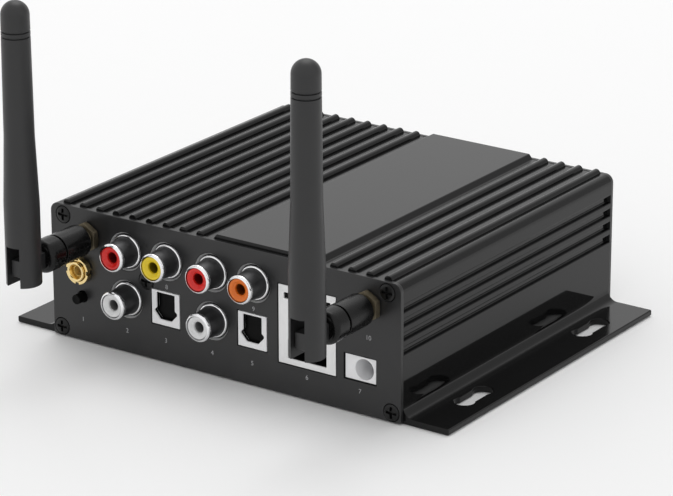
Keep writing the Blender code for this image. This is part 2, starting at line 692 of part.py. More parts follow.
# Network and bus socket
def build_lan(face, looks):
    base = SEAT
    holder = marker("lan_usb_place", face, (LAN_X, 0, base))
    half = PORT_WIDTH / 2
    latch = LATCH_WIDTH / 2
    port_top = PORT_SILL + PORT_HEIGHT
    step = PORT_SILL - LATCH_HEIGHT
    port = [(latch, step), (latch, PORT_SILL), (half, PORT_SILL), (half, port_top)]
    light = LIGHT_SILL + LIGHT_HEIGHT / 2
    lights = [centred((side * LIGHT_OFFSET, light), LIGHT_WIDTH, LIGHT_HEIGHT) for side in (-1, 1)]
    bus = rectangle(-BUS_WIDTH / 2, BUS_WIDTH / 2, BUS_SILL, BUS_SILL + BUS_HEIGHT)
    frame = rectangle(-LAN_WIDTH / 2, LAN_WIDTH / 2, 0, LAN_HEIGHT)
    back = LAN_DROP + LAN_DEPTH
    shield = prism([frame, port + mirrored(port), bus] + lights, LAN_DROP, back)
    add("lan_usb_shield", shield, looks["grey_metal"], holder)

    plug = back - SOCKET_BACK
    top = port_top - GAP
    comb = top - CONTACT_THICKNESS
    bottom = PORT_SILL + GAP
    near = LAN_DROP + CONTACT_SETBACK
    contacts = [(near, comb), (plug, comb), (plug, bottom), (back, bottom), (back, top), (near, top)]
    add("lan_contact_block", prism([contacts], GAP - half, half - GAP, "X"), looks["black_plastic"], holder)

    low = BUS_SILL + GAP
    high = BUS_SILL + BUS_HEIGHT - GAP
    tip = LAN_DROP + TONGUE_SETBACK
    under = high - TONGUE_THICKNESS
    tongue = [(tip, under), (plug, under), (plug, low), (back, low), (back, high), (tip, high)]
    half_bus = BUS_WIDTH / 2 - GAP
    add("usb_tongue", prism([tongue], -half_bus, half_bus, "X"), looks["black_plastic"], holder)


# Power socket
def build_dc(face, looks):
    body = stepped_body(DC_DROP, DC_DEPTH, DC_BOTTOM, DC_BOTTOM + DC_HEIGHT, DC_WIDTH)
    block = add("dc_jack_body", body, looks["grey_plastic"], face, (DC_X, 0, 0))
    floor = DC_DROP + DC_BORE_DEPTH
    hole = DC_PIN + SNUG
    past = DC_DEPTH + GAP
    profile = [(0, -GAP), (DC_BORE, -GAP), (DC_BORE, floor), (hole, floor), (hole, past), (0, past)]
    combine(block, moved_copies(lambda: turned(profile), [(DC_BORE_SHIFT, 0, DC_BORE_Z)]))
    tip = DC_DROP + DC_PIN_DROP
    tip_edge = DC_PIN / 2
    pin = [(0, tip), (tip_edge, tip), (DC_PIN, tip + tip_edge), (DC_PIN, DC_DEPTH), (0, DC_DEPTH)]
    place = (DC_X + DC_BORE_SHIFT, 0, DC_BORE_Z)
    add("dc_jack_pin", turned(pin, steps=SMALL_STEPS), looks["chrome"], face, place)


# Trigger jack
def build_trigger(face, looks):
    place = (TRIGGER_X, 0, TRIGGER_Z)
    front = -TRIGGER_REACH
    can_back = BEHIND_PANEL + TRIGGER_CAN_DEPTH
    bore_end = min(front + TRIGGER_BORE_DEPTH, can_back - TRIGGER_BACK)
    profile = [(0, can_back), (TRIGGER_CAN, can_back), (TRIGGER_CAN, BEHIND_PANEL)]
    profile += [(TRIGGER_BARREL, BEHIND_PANEL), (TRIGGER_BARREL, front + TRIGGER_EDGE)]
    profile += [(TRIGGER_BARREL - TRIGGER_EDGE, front), (TRIGGER_BORE, front), (TRIGGER_BORE, bore_end)]
    add("trigger_jack_body", turned(profile + [(0, bore_end)]), looks["gold"], face, place)

    outline = []
    half_notch = math.degrees(math.asin(NUT_NOTCH_WIDTH / 2 / NUT_RADIUS))
    quarter = 360 / NUT_NOTCHES
    for index in range(NUT_NOTCHES):
        start = index * quarter
        outline += arc((0, 0), NUT_RADIUS, start + half_notch, start + quarter - half_notch, CORNER_STEPS)
        outline += arc((0, 0), NUT_RADIUS - NUT_NOTCH_DEPTH, start + quarter - half_notch,
                       start + quarter + half_notch, 1)
    bore = circle((0, 0), TRIGGER_BARREL + SNUG)
    nut = prism([outline, bore], -GAP - NUT_THICKNESS, -GAP)
    add("trigger_jack_nut", nut, looks["gold"], face, place)


# Reset button
def build_reset(face, looks):
    switch_front = BEHIND_PANEL + GAP
    outline = rectangle(-SWITCH_WIDTH / 2, SWITCH_WIDTH / 2, SEAT, RESET_Z + RESET_RADIUS + SWITCH_MARGIN)
    body = prism([outline], switch_front, switch_front + SWITCH_DEPTH)
    switch = add("reset_switch_body", body, looks["black_plastic"], face, (RESET_X, 0, 0))
    room = RESET_RADIUS + GAP
    pocket = [(0, 0), (room, 0), (room, switch_front + SWITCH_POCKET), (0, switch_front + SWITCH_POCKET)]
    combine(switch, moved_copies(lambda: turned(pocket, steps=SMALL_STEPS), [(0, 0, RESET_Z)]))
    end = switch_front + min(SWITCH_GRIP, SWITCH_POCKET - RESET_TRAVEL - GAP)
    front = -RESET_REACH
    profile = [(0, end), (RESET_RADIUS, end), (RESET_RADIUS, front + RESET_EDGE)]
    profile += [(RESET_RADIUS - RESET_EDGE, front), (0, front)]
    button = turned(profile, steps=SMALL_STEPS)
    add("reset_button", button, looks["black_plastic"], face, (RESET_X, 0, RESET_Z))


# Antennas
def bulkhead():
    shoulder_end = BEHIND_PANEL + SHOULDER_LENGTH
    profile = [(0, shoulder_end + TAIL_LENGTH), (TAIL, shoulder_end + TAIL_LENGTH), (TAIL, shoulder_end)]
    profile += [(SHOULDER, shoulder_end), (SHOULDER, BEHIND_PANEL), (THREAD, BEHIND_PANEL)]
    return turned(profile + [(THREAD, -THREAD_REACH), (0, -THREAD_REACH)])


def hex_nut():
    corner = HEX_ACROSS / math.sqrt(3)
    return prism(
        [arc((0, 0), corner, 90, 450, 6)[:-1], circle((0, 0), THREAD + SNUG)], -GAP - HEX_THICKNESS, -GAP
    )


def coupling():
    thread_end = -THREAD_REACH - GAP
    spigot_end = GAP - KNUCKLE_NEAR + SPIGOT_LENGTH
    edge = COUPLING_EDGE
    profile = [(0, thread_end), (THREAD + GAP, thread_end), (THREAD + GAP, -COUPLING_NEAR)]
    profile += [(COUPLING_RADIUS - edge, -COUPLING_NEAR), (COUPLING_RADIUS, -COUPLING_NEAR - edge)]
    profile += [(COUPLING_RADIUS, edge - COUPLING_FAR), (COUPLING_RADIUS - edge, -COUPLING_FAR)]
    return turned(profile + [(SPIGOT + GAP, -COUPLING_FAR), (SPIGOT + GAP, spigot_end), (0, spigot_end)])


def knuckle_barrel():
    """Barrel and spigot, with y counted from the hinge axis."""
    near = -KNUCKLE_NEAR - HINGE_Y
    far = -KNUCKLE_FAR - HINGE_Y
    profile = [(0, near + SPIGOT_LENGTH), (SPIGOT, near + SPIGOT_LENGTH), (SPIGOT, near)]
    profile += [(KNUCKLE_RADIUS - COUPLING_EDGE, near), (KNUCKLE_RADIUS, near - COUPLING_EDGE)]
    profile += arc((KNUCKLE_RADIUS - KNUCKLE_EDGE, far + KNUCKLE_EDGE), KNUCKLE_EDGE, 0, -90)
    return turned(profile + [(0, far)])


def knuckle_tongue():
    root = HINGE_REACH + TONGUE_ROOT
    end = TONGUE_EDGE - TONGUE_FRONT
    outline = [(root, -TONGUE_BELOW), (root, TONGUE_ABOVE)]
    outline += arc((end, TONGUE_ABOVE - TONGUE_EDGE), TONGUE_EDGE, 90, 180)
    outline += arc((end, TONGUE_EDGE - TONGUE_BELOW), TONGUE_EDGE, 180, 270)
    hole = circle((0, 0), HINGE_PIN + GAP, SMALL_STEPS)
    return prism([outline, hole], -TONGUE_WIDTH / 2, TONGUE_WIDTH / 2, "X")


def blade_radius(height):
    """Radius of the blade at a height above its waist, counted from the hinge axis."""
    share = (height - BLADE_WAIST) / (BLADE_TOP - BLADE_TOP_RADIUS - BLADE_WAIST)
    return BLADE_WAIST_RADIUS + (BLADE_TOP_RADIUS - BLADE_WAIST_RADIUS) * min(share, 1)


def blade_body():
    edge = BLADE_BOTTOM_EDGE
    profile = [(0, -BLADE_FOOT), (BLADE_FOOT_RADIUS - edge, -BLADE_FOOT)]
    profile += [(BLADE_FOOT_RADIUS, edge - BLADE_FOOT), (BLADE_FOOT_RADIUS, BLADE_TAPER_START)]
    profile.append((BLADE_WAIST_RADIUS, BLADE_WAIST))
    for drop in sorted(RING_DROPS, reverse=True):
        middle = BLADE_TOP - drop
        low = middle - RING_WIDTH / 2
        high = middle + RING_WIDTH / 2
        profile.append((blade_radius(low), low))
        profile.append((blade_radius(middle) - RING_DEPTH, middle))
        profile.append((blade_radius(high), high))
    dome = arc((0, BLADE_TOP - BLADE_TOP_RADIUS), BLADE_TOP_RADIUS, 0, 90, BLADE_DOME_STEPS)
    return turned(profile + dome[:-1] + [(0, BLADE_TOP)], "Z")


def swing_envelope():
    """Everything that clears the knuckle's shoulder as the blade tilts, across the blade."""
    reach = 2 * BLADE_FOOT_RADIUS
    outline = arc((0, 0), BLADE_SWING, 270, 360, ROUND_STEPS // 2)
    outline += [(reach, 0), (reach, BLADE_TOP + reach), (-reach, BLADE_TOP + reach), (-reach, -BLADE_SWING)]
    return prism([outline], -reach, reach, "X")


def build_antenna(side, x, face, looks):
    swivel = marker(f"{side}_swivel_axis", face, (x, 0, ANTENNA_Z))
    tilt = marker(f"{side}_tilt_axis", swivel, (0, HINGE_Y, 0))
    add(f"{side}_antenna_bulkhead", bulkhead(), looks["brass"], swivel)
    add(f"{side}_antenna_nut", hex_nut(), looks["brass"], swivel)
    add(f"{side}_antenna_coupling", coupling(), looks["antenna"], swivel)

    knuckle = add(f"{side}_antenna_knuckle", knuckle_barrel(), looks["antenna"], tilt)
    combine(knuckle, knuckle_tongue(), "UNION")
    pin_profile = [(0, -HINGE_PIN_HALF), (HINGE_PIN, -HINGE_PIN_HALF), (HINGE_PIN, HINGE_PIN_HALF)]
    pin = turned(pin_profile + [(0, HINGE_PIN_HALF)], "X", steps=SMALL_STEPS)
    add(f"{side}_antenna_hinge_pin", pin, looks["steel"], tilt)

    blade = add(f"{side}_antenna_blade", blade_body(), looks["antenna"], tilt)
    combine(blade, swing_envelope(), "INTERSECT")
    half_slot = TONGUE_WIDTH / 2 + GAP
    reach = 2 * BLADE_FOOT_RADIUS
    combine(blade, prism([rectangle(-reach, reach, -reach, BLADE_SLOT_TOP)], -half_slot, half_slot, "X"))
    room = HINGE_PIN + GAP
    end = HINGE_PIN_HALF + GAP
    combine(blade, turned([(0, -end), (room, -end), (room, end), (0, end)], "X", steps=SMALL_STEPS))


# Board and what it carries
def block_on_board(size):
    width, depth, height = size
    return prism([centred((0, 0), width, depth)], SEAT, SEAT + height, "Z")


def build_lead(side, x, landing, face, look):
    """Coaxial lead from an antenna's tail to the wireless module, as one smooth curve."""
    tail_end = BEHIND_PANEL + SHOULDER_LENGTH + TAIL_LENGTH + GAP
    start = Vector((x, tail_end, ANTENNA_Z))
    module_top = SEAT + MODULE_SIZE[2] + GAP
    end = Vector((landing, MODULE_CENTRE[1] + BODY_DEPTH / 2, module_top))
    path = interpolate_bezier(
        start, start + Vector((0, LEAD_RUN, 0)), end + Vector((0, 0, LEAD_DROP)), end, LEAD_STEPS + 1
    )
    curve = bpy.data.curves.new(f"{side}_antenna_lead", "CURVE")
    curve.dimensions = "3D"
    curve.bevel_depth = LEAD_RADIUS
    curve.bevel_resolution = 2
    curve.use_fill_caps = True
    line = curve.splines.new("POLY")
    line.points.add(len(path) - 1)
    for point, place in zip(line.points, path):
        point.co = (*place, 1)
    curve.materials.append(look)
    link(f"{side}_antenna_lead", curve, face, (0, 0, 0))


def build_board(base, face, looks):
    half_x = INSIDE_X - GAP
    board = rectangle(-half_x, half_x, -SHELL_HALF, SHELL_HALF)
    add("main_board", prism([board], BOARD_HEIGHT, BOARD_TOP, "Z"), looks["board"], base)
    add("wireless_module", block_on_board(MODULE_SIZE), looks["steel"], base, (*MODULE_CENTRE, 0))
    add("processor", block_on_board(CHIP_SIZE), looks["black_plastic"], base, (*CHIP_CENTRE, 0))
    power_x = RAIL_X - POWER_INSET
    coil = block_on_board(COIL_SIZE)
    add("power_inductor", coil, looks["black_plastic"], base, (power_x, COIL_Y, 0))
    top = SEAT + CAPACITOR_HEIGHT
    edge = CAPACITOR_EDGE
    can = [(0, SEAT), (CAPACITOR_RADIUS, SEAT), (CAPACITOR_RADIUS, top - edge)]
    can += [(CAPACITOR_RADIUS - edge, top), (0, top)]
    add("filter_capacitor", turned(can, "Z"), looks["black_plastic"], base, (power_x, CAPACITOR_Y, 0))
    build_lead("left", LEFT_ANTENNA_X, MODULE_CENTRE[0] - LEAD_LANDING, face, looks["black_plastic"])
    build_lead("right", RIGHT_ANTENNA_X, MODULE_CENTRE[0] + LEAD_LANDING, face, looks["black_plastic"])


# Whole receiver
def connector_openings():
    """Cut-outs of the connector panel."""
    openings = []
    for column, jacks in phono_groups():
        openings += [circle((x, z), PHONO_FLANGE + PHONO_HOLE_GAP) for x, z, colour in jacks]
        optical = (optical_x(column), PHONO_LOWER_Z)
        openings.append(centred(optical, OPTICAL_WIDTH + 2 * GAP, OPTICAL_HEIGHT + 2 * GAP))
    lan = (LAN_X, SEAT + LAN_HEIGHT / 2)
    openings.append(centred(lan, LAN_WIDTH + 2 * GAP, LAN_HEIGHT + 2 * GAP))
    openings.append(centred((DC_X, DC_BORE_Z), DC_WIDTH + 2 * GAP, DC_HEIGHT + 2 * GAP))
    openings.append(circle((TRIGGER_X, TRIGGER_Z), TRIGGER_BARREL + GAP))
    openings.append(circle((RESET_X, RESET_Z), RESET_RADIUS + GAP, SMALL_STEPS))
    for x in (LEFT_ANTENNA_X, RIGHT_ANTENNA_X):
        openings.append(circle((x, ANTENNA_Z), THREAD + GAP))
    return openings


def all_looks():
    return {
        "housing": look_of("black_anodised", (0.022, 0.022, 0.023), 0.35, 0.6),
        "panel": look_of("satin_black", (0.03, 0.03, 0.031), 0.5),
        "screw": look_of("black_steel", (0.02, 0.02, 0.02), 0.4, 0.8),
        "antenna": look_of("antenna_black", (0.035, 0.035, 0.036), 0.5),
        "black_plastic": look_of("black_plastic", (0.02, 0.02, 0.02), 0.5),
        "shutter": look_of("shutter_plastic", (0.04, 0.04, 0.042), 0.5),
        "grey_plastic": look_of("grey_plastic", (0.6, 0.6, 0.6), 0.45),
        "grey_metal": look_of("grey_metal", (0.6, 0.6, 0.6), 0.4, 0.3),
        "chrome": look_of("chrome", (0.75, 0.75, 0.76), 0.12, 1.0),
        "steel": look_of("steel", (0.5, 0.5, 0.5), 0.3, 1.0),
        "gold": look_of("gold_plate", (0.72, 0.6, 0.28), 0.25, 1.0),
        "brass": look_of("dull_brass", (0.4, 0.36, 0.22), 0.35, 1.0),
        "board": look_of("board_green", (0.02, 0.09, 0.04), 0.55),
        "red": look_of("red_plastic", (0.6, 0.02, 0.02), 0.4),
        "yellow": look_of("yellow_plastic", (0.75, 0.6, 0.03), 0.4),
        "orange": look_of("orange_plastic", (0.8, 0.2, 0.02), 0.4),
        "white": look_of("white_plastic", (0.75, 0.75, 0.74), 0.4),
    }


def main():
    for old in list(bpy.data.objects):
        bpy.data.objects.remove(old)
    looks = all_looks()
    base = marker("receiver", None, (0, 0, 0))
    connector_face = marker("connector_face", base, (0, -BODY_DEPTH / 2, 0))
    front_face = marker("front_face", base, (0, BODY_DEPTH / 2, 0))
    front_face.rotation_euler = (0, 0, math.pi)

    build_housing(base, looks["housing"])
    block_screw = phono_screw_place(PHONO_COLUMNS[0])
    build_panel("connector_panel", connector_openings(), [block_screw], looks, connector_face)
    build_screw("phono_block_screw", looks["screw"], connector_face, block_screw)
    build_panel("front_panel", [], [], looks, front_face)
    build_phono(connector_face, looks)
    for name, column in zip(("optical_in", "optical_out"), PHONO_COLUMNS):
        build_optical(name, optical_x(column), connector_face, looks)
    build_lan(connector_face, looks)
    build_dc(connector_face, looks)
    build_trigger(connector_face, looks)
    build_reset(connector_face, looks)
    build_antenna("left", LEFT_ANTENNA_X, connector_face, looks)
    build_antenna("right", RIGHT_ANTENNA_X, connector_face, looks)
    build_board(base, connector_face, looks)


main()
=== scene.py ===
"""Looks of a small network audio receiver: fine surfaces, finishes, light and camera.

Metres, +Z up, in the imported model's frame. The connector panel faces -Y, the ribs run along Y and the
mounting flanges stand out to both sides along X.
"""

import math

import bmesh
import bpy
from mathutils import Matrix, Vector


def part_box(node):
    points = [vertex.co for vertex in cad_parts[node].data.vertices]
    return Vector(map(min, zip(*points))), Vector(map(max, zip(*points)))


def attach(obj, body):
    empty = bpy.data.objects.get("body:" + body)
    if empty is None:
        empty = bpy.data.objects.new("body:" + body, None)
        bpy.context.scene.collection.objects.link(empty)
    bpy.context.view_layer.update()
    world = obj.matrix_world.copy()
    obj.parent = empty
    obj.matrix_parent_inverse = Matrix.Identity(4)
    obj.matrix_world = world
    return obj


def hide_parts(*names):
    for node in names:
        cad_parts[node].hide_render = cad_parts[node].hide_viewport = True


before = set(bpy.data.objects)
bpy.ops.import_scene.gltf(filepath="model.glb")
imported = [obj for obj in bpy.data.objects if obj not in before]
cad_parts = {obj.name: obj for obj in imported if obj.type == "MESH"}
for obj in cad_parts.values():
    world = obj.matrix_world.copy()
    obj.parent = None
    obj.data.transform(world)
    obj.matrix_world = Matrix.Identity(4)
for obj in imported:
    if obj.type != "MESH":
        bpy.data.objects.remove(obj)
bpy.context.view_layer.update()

MM = 0.001

# Clearances and the rounding of edges
GAP = 0.3 * MM
SNUG = 0.15 * MM
FINE_EDGE = 0.08 * MM
PLATE_EDGE = 0.15 * MM
SOFT_EDGE = 0.2 * MM

# Mesh fineness
ROUND_STEPS = 72
SMALL_STEPS = 40
QUARTER_STEPS = 8
CORNER_STEPS = 4
EDGE_STEPS = 3
RIB_STEPS = 18
CORNER_SHARE = 0.48  # most that a rounded corner takes of the lines beside it
MITRE_LIMIT = 0.4  # keeps sharp corners from running out when an outline grows
SHARP_ANGLE = math.radians(38)
WELD = 0.0005 * MM

# Housing
BODY_CORNER = 2.5 * MM
WALL = 3.0 * MM
ROOF = 2.3 * MM
FLOOR = 2.5 * MM
HOUSING_EDGE = 0.05 * MM
RIB_WIDTH = 2.6 * MM
RIB_HEIGHT = 1.3 * MM
RIB_PITCH = 5.9 * MM
VALLEY_DROP = 0.1 * MM  # top of the end panels down to the valleys between the ribs
RIB_EDGE = 5.0 * MM  # side of the housing to the outermost rib's centre
RIBS_LEFT = 9
RIBS_RIGHT = 4
BAND_CENTRE = 15 * MM
BAND_WIDTH = 34 * MM
BAND_HEIGHT = 1.4 * MM  # above the end panels
BAND_CHAMFER = 1.2 * MM
BAND_ROUND = 0.3 * MM
GROOVE_COUNT = 4
GROOVE_PITCH = 4.05 * MM
GROOVE_HEIGHT = 2.2 * MM
GROOVE_DEPTH = 1.2 * MM
GROOVE_DROP = 6.1 * MM
GROOVE_ROUND = 0.4 * MM
FLANGE_WIDTH = 14.65 * MM
FLANGE_THICKNESS = 1.75 * MM
FLANGE_FILLET = 3.2 * MM
FLANGE_TIP_ROUND = 0.35 * MM
KEYHOLE_OFFSET = 7.3 * MM
KEYHOLE_SPACING = 62.4 * MM
KEYHOLE_SHIFT = 0.9 * MM  # of both keyholes away from the connector panel
KEYHOLE_LOBE = 2.95 * MM
KEYHOLE_LOBE_SPACING = 9.6 * MM
KEYHOLE_WAIST = 4.9 * MM
KEYHOLE_CHAMFER = 0.1 * MM
BOSS = 2.3 * MM
RAIL_REACH = 2.4 * MM
RAIL_HEIGHT = 1.2 * MM

# End panels and screws
PANEL_FOOT_CORNER = 0.5 * MM
PANEL_SEAM = 0.03 * MM  # left open between a panel and the housing
SCREW_HEAD = 2.4 * MM
SCREW_CROWN = 0.28 * MM
CROWN_SHARES = ((0.35, 0.95), (0.7, 0.66))  # of the head's radius and of the crown's height
SCREW_LAND = 0.15 * MM
SCREW_SHANK = 1.25 * MM
SCREW_LENGTH = 9.0 * MM
SCREW_POINT = 0.8 * MM
CROSS_REACH = 1.7 * MM
CROSS_HALF = 0.38 * MM
CROSS_DEPTH = 0.8 * MM
CROSS_TAPER = 0.1 * MM

# Phono jacks
PHONO_COLOURS = ("red", "yellow", "white", "red", "orange", "white")
PHONO_REACH = 7.05 * MM
PHONO_NECK = 3.85 * MM
PHONO_BARREL = 4.45 * MM
PHONO_COLLAR = 4.2 * MM
PHONO_COLLAR_LENGTH = 1.8 * MM
PHONO_LIP = 0.9 * MM  # roundness of the collar
PHONO_LIP_ANGLES = (-75, 50)
PHONO_BORE = 3.45 * MM
PHONO_RING = 0.45 * MM  # roundness of the flange's rim
PHONO_HOLE_GAP = 0.75 * MM
PHONO_CONE_DROP = 0.1 * MM  # panel's face down to the bare metal cone round each jack
PHONO_CONE_GAP = 0.3 * MM
PHONO_CONE_DEPTH = 0.7 * MM
PHONO_SHADE_DROP = 0.5 * MM  # hole's rim down to where its painted shade begins
PHONO_INSERT_DROP = 0.3 * MM
PHONO_INSERT_EDGE = 0.15 * MM
PHONO_FACE = 2.6 * MM
PHONO_SOCKET = 1.65 * MM
PHONO_FUNNEL_DEPTH = 0.7 * MM
PHONO_FLOOR = 2.0 * MM

# Dark linings of the sockets
LINING = 0.18 * MM
LINING_GAP = 0.03 * MM
LINING_DROP = 0.35 * MM
LINING_DEPTH = 8.0 * MM

# Optical sockets
OPTICAL_HEIGHT = 10.2 * MM
OPTICAL_LIP = 1.0 * MM
OPTICAL_SIDE = 0.65 * MM
OPTICAL_EDGE = 0.12 * MM
MOUTH_TOP = 0.6 * MM
MOUTH_BOTTOM = 1.6 * MM
MOUTH_HALF = 3.15 * MM
KEY_HALF = 3.9 * MM
KEY_HEIGHT = 4.3 * MM
KEY_SIZE = 1.2 * MM
SILL_HALF = 1.95 * MM
FLAP_STEPS = 2

# Network and bus socket
PORT_WIDTH = 12.0 * MM
PORT_HEIGHT = 7.0 * MM
PORT_SILL = 10.95 * MM
PORT_TOP = PORT_SILL + PORT_HEIGHT
LATCH_WIDTH = 6.2 * MM
LATCH_HEIGHT = 2.0 * MM
LIGHT_OFFSET = 6.25 * MM
LIGHT_WIDTH = 3.0 * MM
LIGHT_HEIGHT = 1.8 * MM
LIGHT_SILL = 19.05 * MM
LIGHT_DEPTH = 4.0 * MM
BUS_WIDTH = 12.85 * MM
BUS_HEIGHT = 5.6 * MM
BUS_SILL = 1.75 * MM
BUS_TOP = BUS_SILL + BUS_HEIGHT
BUS_TONGUE = 1.8 * MM
SOCKET_BACK = 6.0 * MM
CONTACT_THICKNESS = 1.2 * MM
CONTACT_EDGE = 0.1 * MM
WIRE_COUNT = 8
WIRE_PITCH = 1.02 * MM
WIRE_WIDTH = 0.4 * MM
WIRE_FALL = 2.6 * MM
PAD_COUNT = 4
PAD_PITCH = 2.5 * MM
PAD_WIDTH = 1.1 * MM
PAD_THICKNESS = 0.1 * MM
PAD_EDGE = PAD_THICKNESS / 3

# Power socket
DC_HEIGHT = 7.15 * MM
DC_BORE = 3.0 * MM
DC_BORE_DEPTH = 10 * MM
DC_MOUTH = 0.12 * MM
DC_TIP_SHARE = 0.8  # of the pin's radius that its tip is rounded by
DC_TIP_STEPS = 6

# Trigger jack and reset button
TRIGGER_BARREL = 2.9 * MM
TRIGGER_BORE = 1.75 * MM
TRIGGER_MOUTH = 0.5 * MM
TRIGGER_FUNNEL = 1.6 * MM
TRIGGER_BORE_DEPTH = 12 * MM
TRIGGER_ROUND = 0.3 * MM
NUT_EDGE = 0.12 * MM
NUT_NOTCHES = 4
NUT_NOTCH_WIDTH = 1.2 * MM
NUT_NOTCH_DEPTH = 0.6 * MM
NUT_NOTCH_ROUND = 0.1 * MM
NUT_NOTCH_STEPS = 2
RESET_EDGE = 0.25 * MM
RESET_DISH = 0.15 * MM
RESET_DISH_SHARE = 0.7  # of the button's radius

# Antennas
THREAD = 3.1 * MM
THREAD_DEPTH = 0.3 * MM
THREAD_PITCH = 0.7 * MM
THREAD_ROWS = 10  # rows of points for each turn
SHOULDER_LENGTH = 2.2 * MM
TAIL = 1.6 * MM
HEX_SIDES = 6
HEX_CHAMFER = 0.35 * MM
COUPLING_EDGE = 0.4 * MM
SEAM_WIDTH = 0.45 * MM
SEAM_DEPTH = 0.7 * MM
SEAM_STEPS = 5
SPIGOT = 2.6 * MM
SPIGOT_LENGTH = 4.0 * MM
KNUCKLE_LENGTH = 6.0 * MM
KNUCKLE_EDGE = 1.6 * MM
TONGUE_WIDTH = 3.9 * MM
TONGUE_FRONT = 3.05 * MM
TONGUE_ABOVE = 2.0 * MM
TONGUE_BELOW = 2.8 * MM
TONGUE_ROOT = 1.0 * MM
TONGUE_EDGE = 0.25 * MM
PIN_ROOM = 1.2 * MM
PIN_ROOM_HALF = 3.8 * MM
BLADE_FOOT = 5.35 * MM
BLADE_SWING = 6.5 * MM
BLADE_SLOT_TOP = 6.3 * MM
BLADE_FOOT_RADIUS = 5.0 * MM
BLADE_TAPER_START = 18.4 * MM
BLADE_WAIST_RADIUS = 4.28 * MM
BLADE_WAIST = 37.6 * MM
BLADE_TOP_RADIUS = 4.0 * MM
BLADE_BOTTOM_EDGE = 0.25 * MM
RING_DROPS = (9.9 * MM, 8.4 * MM)  # tip down to each ring groove, the lower one first
RING_DEPTH = 0.4 * MM
RING_WIDTH = 0.55 * MM
RING_PROFILE = ((-0.5, 0), (-0.2, 1), (0.2, 1), (0.5, 0))  # shares of a groove's width and depth

# Printed numbers
NUMBER_HEIGHT = 1.9 * MM
NUMBER_THICKNESS = 0.02 * MM
NUMBER_LOW_Z = 6.7 * MM
NUMBER_MIDDLE_Z = 22.9 * MM

# Floor and light
FLOOR_HALF = 12.0
FLOOR_CELLS = 8
FLOOR_DROP = 0.2 * MM
SKY = 0.82  # light from the surroundings, which look white themselves
DIM_WAY = (0.5, 0.77, 0.39)  # towards the dim side of the studio
DIM_LEVEL = 0.63
DIM_EDGES = (0.8, 0.97)  # cosines from its way at which the dim side begins and is full
LAMP_PLACE = (-0.35, 0.55, 1.45)
LAMP_SIZE = 1.0
LAMP_POWER = 6.0

# Camera, as fitted to the photograph's straight edges
IMAGE_WIDTH = 673
FOCAL_PIXELS = 3400
SENSOR = 36
CAMERA_PLACE = (528.73 * MM, -758.39 * MM, 358.02 * MM)
CAMERA_AZIMUTH = math.radians(34.8605)
CAMERA_ELEVATION = math.radians(19.9829)
CAMERA_ROLL = math.radians(-0.1205)

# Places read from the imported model
PANEL_LOW, PANEL_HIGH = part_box("connector_panel")
SHELL_LOW, SHELL_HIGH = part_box("housing")
FACE_Y = PANEL_LOW.y
PANEL_THICKNESS = PANEL_HIGH.y - PANEL_LOW.y
BEHIND_PANEL = PANEL_THICKNESS + GAP
PANEL_BACK = BEHIND_PANEL - PANEL_SEAM
HALF_WIDTH = SHELL_HIGH.x - FLANGE_WIDTH
BODY_TOP = SHELL_HIGH.z - BAND_HEIGHT
VALLEY = BODY_TOP - VALLEY_DROP
SCREW_HOLE = SCREW_SHANK + GAP
CORNER_SCREWS = [f"connector_panel_screw_{number}" for number in range(1, 5)]
FRONT_SCREWS = [f"front_panel_screw_{number}" for number in range(1, 5)]

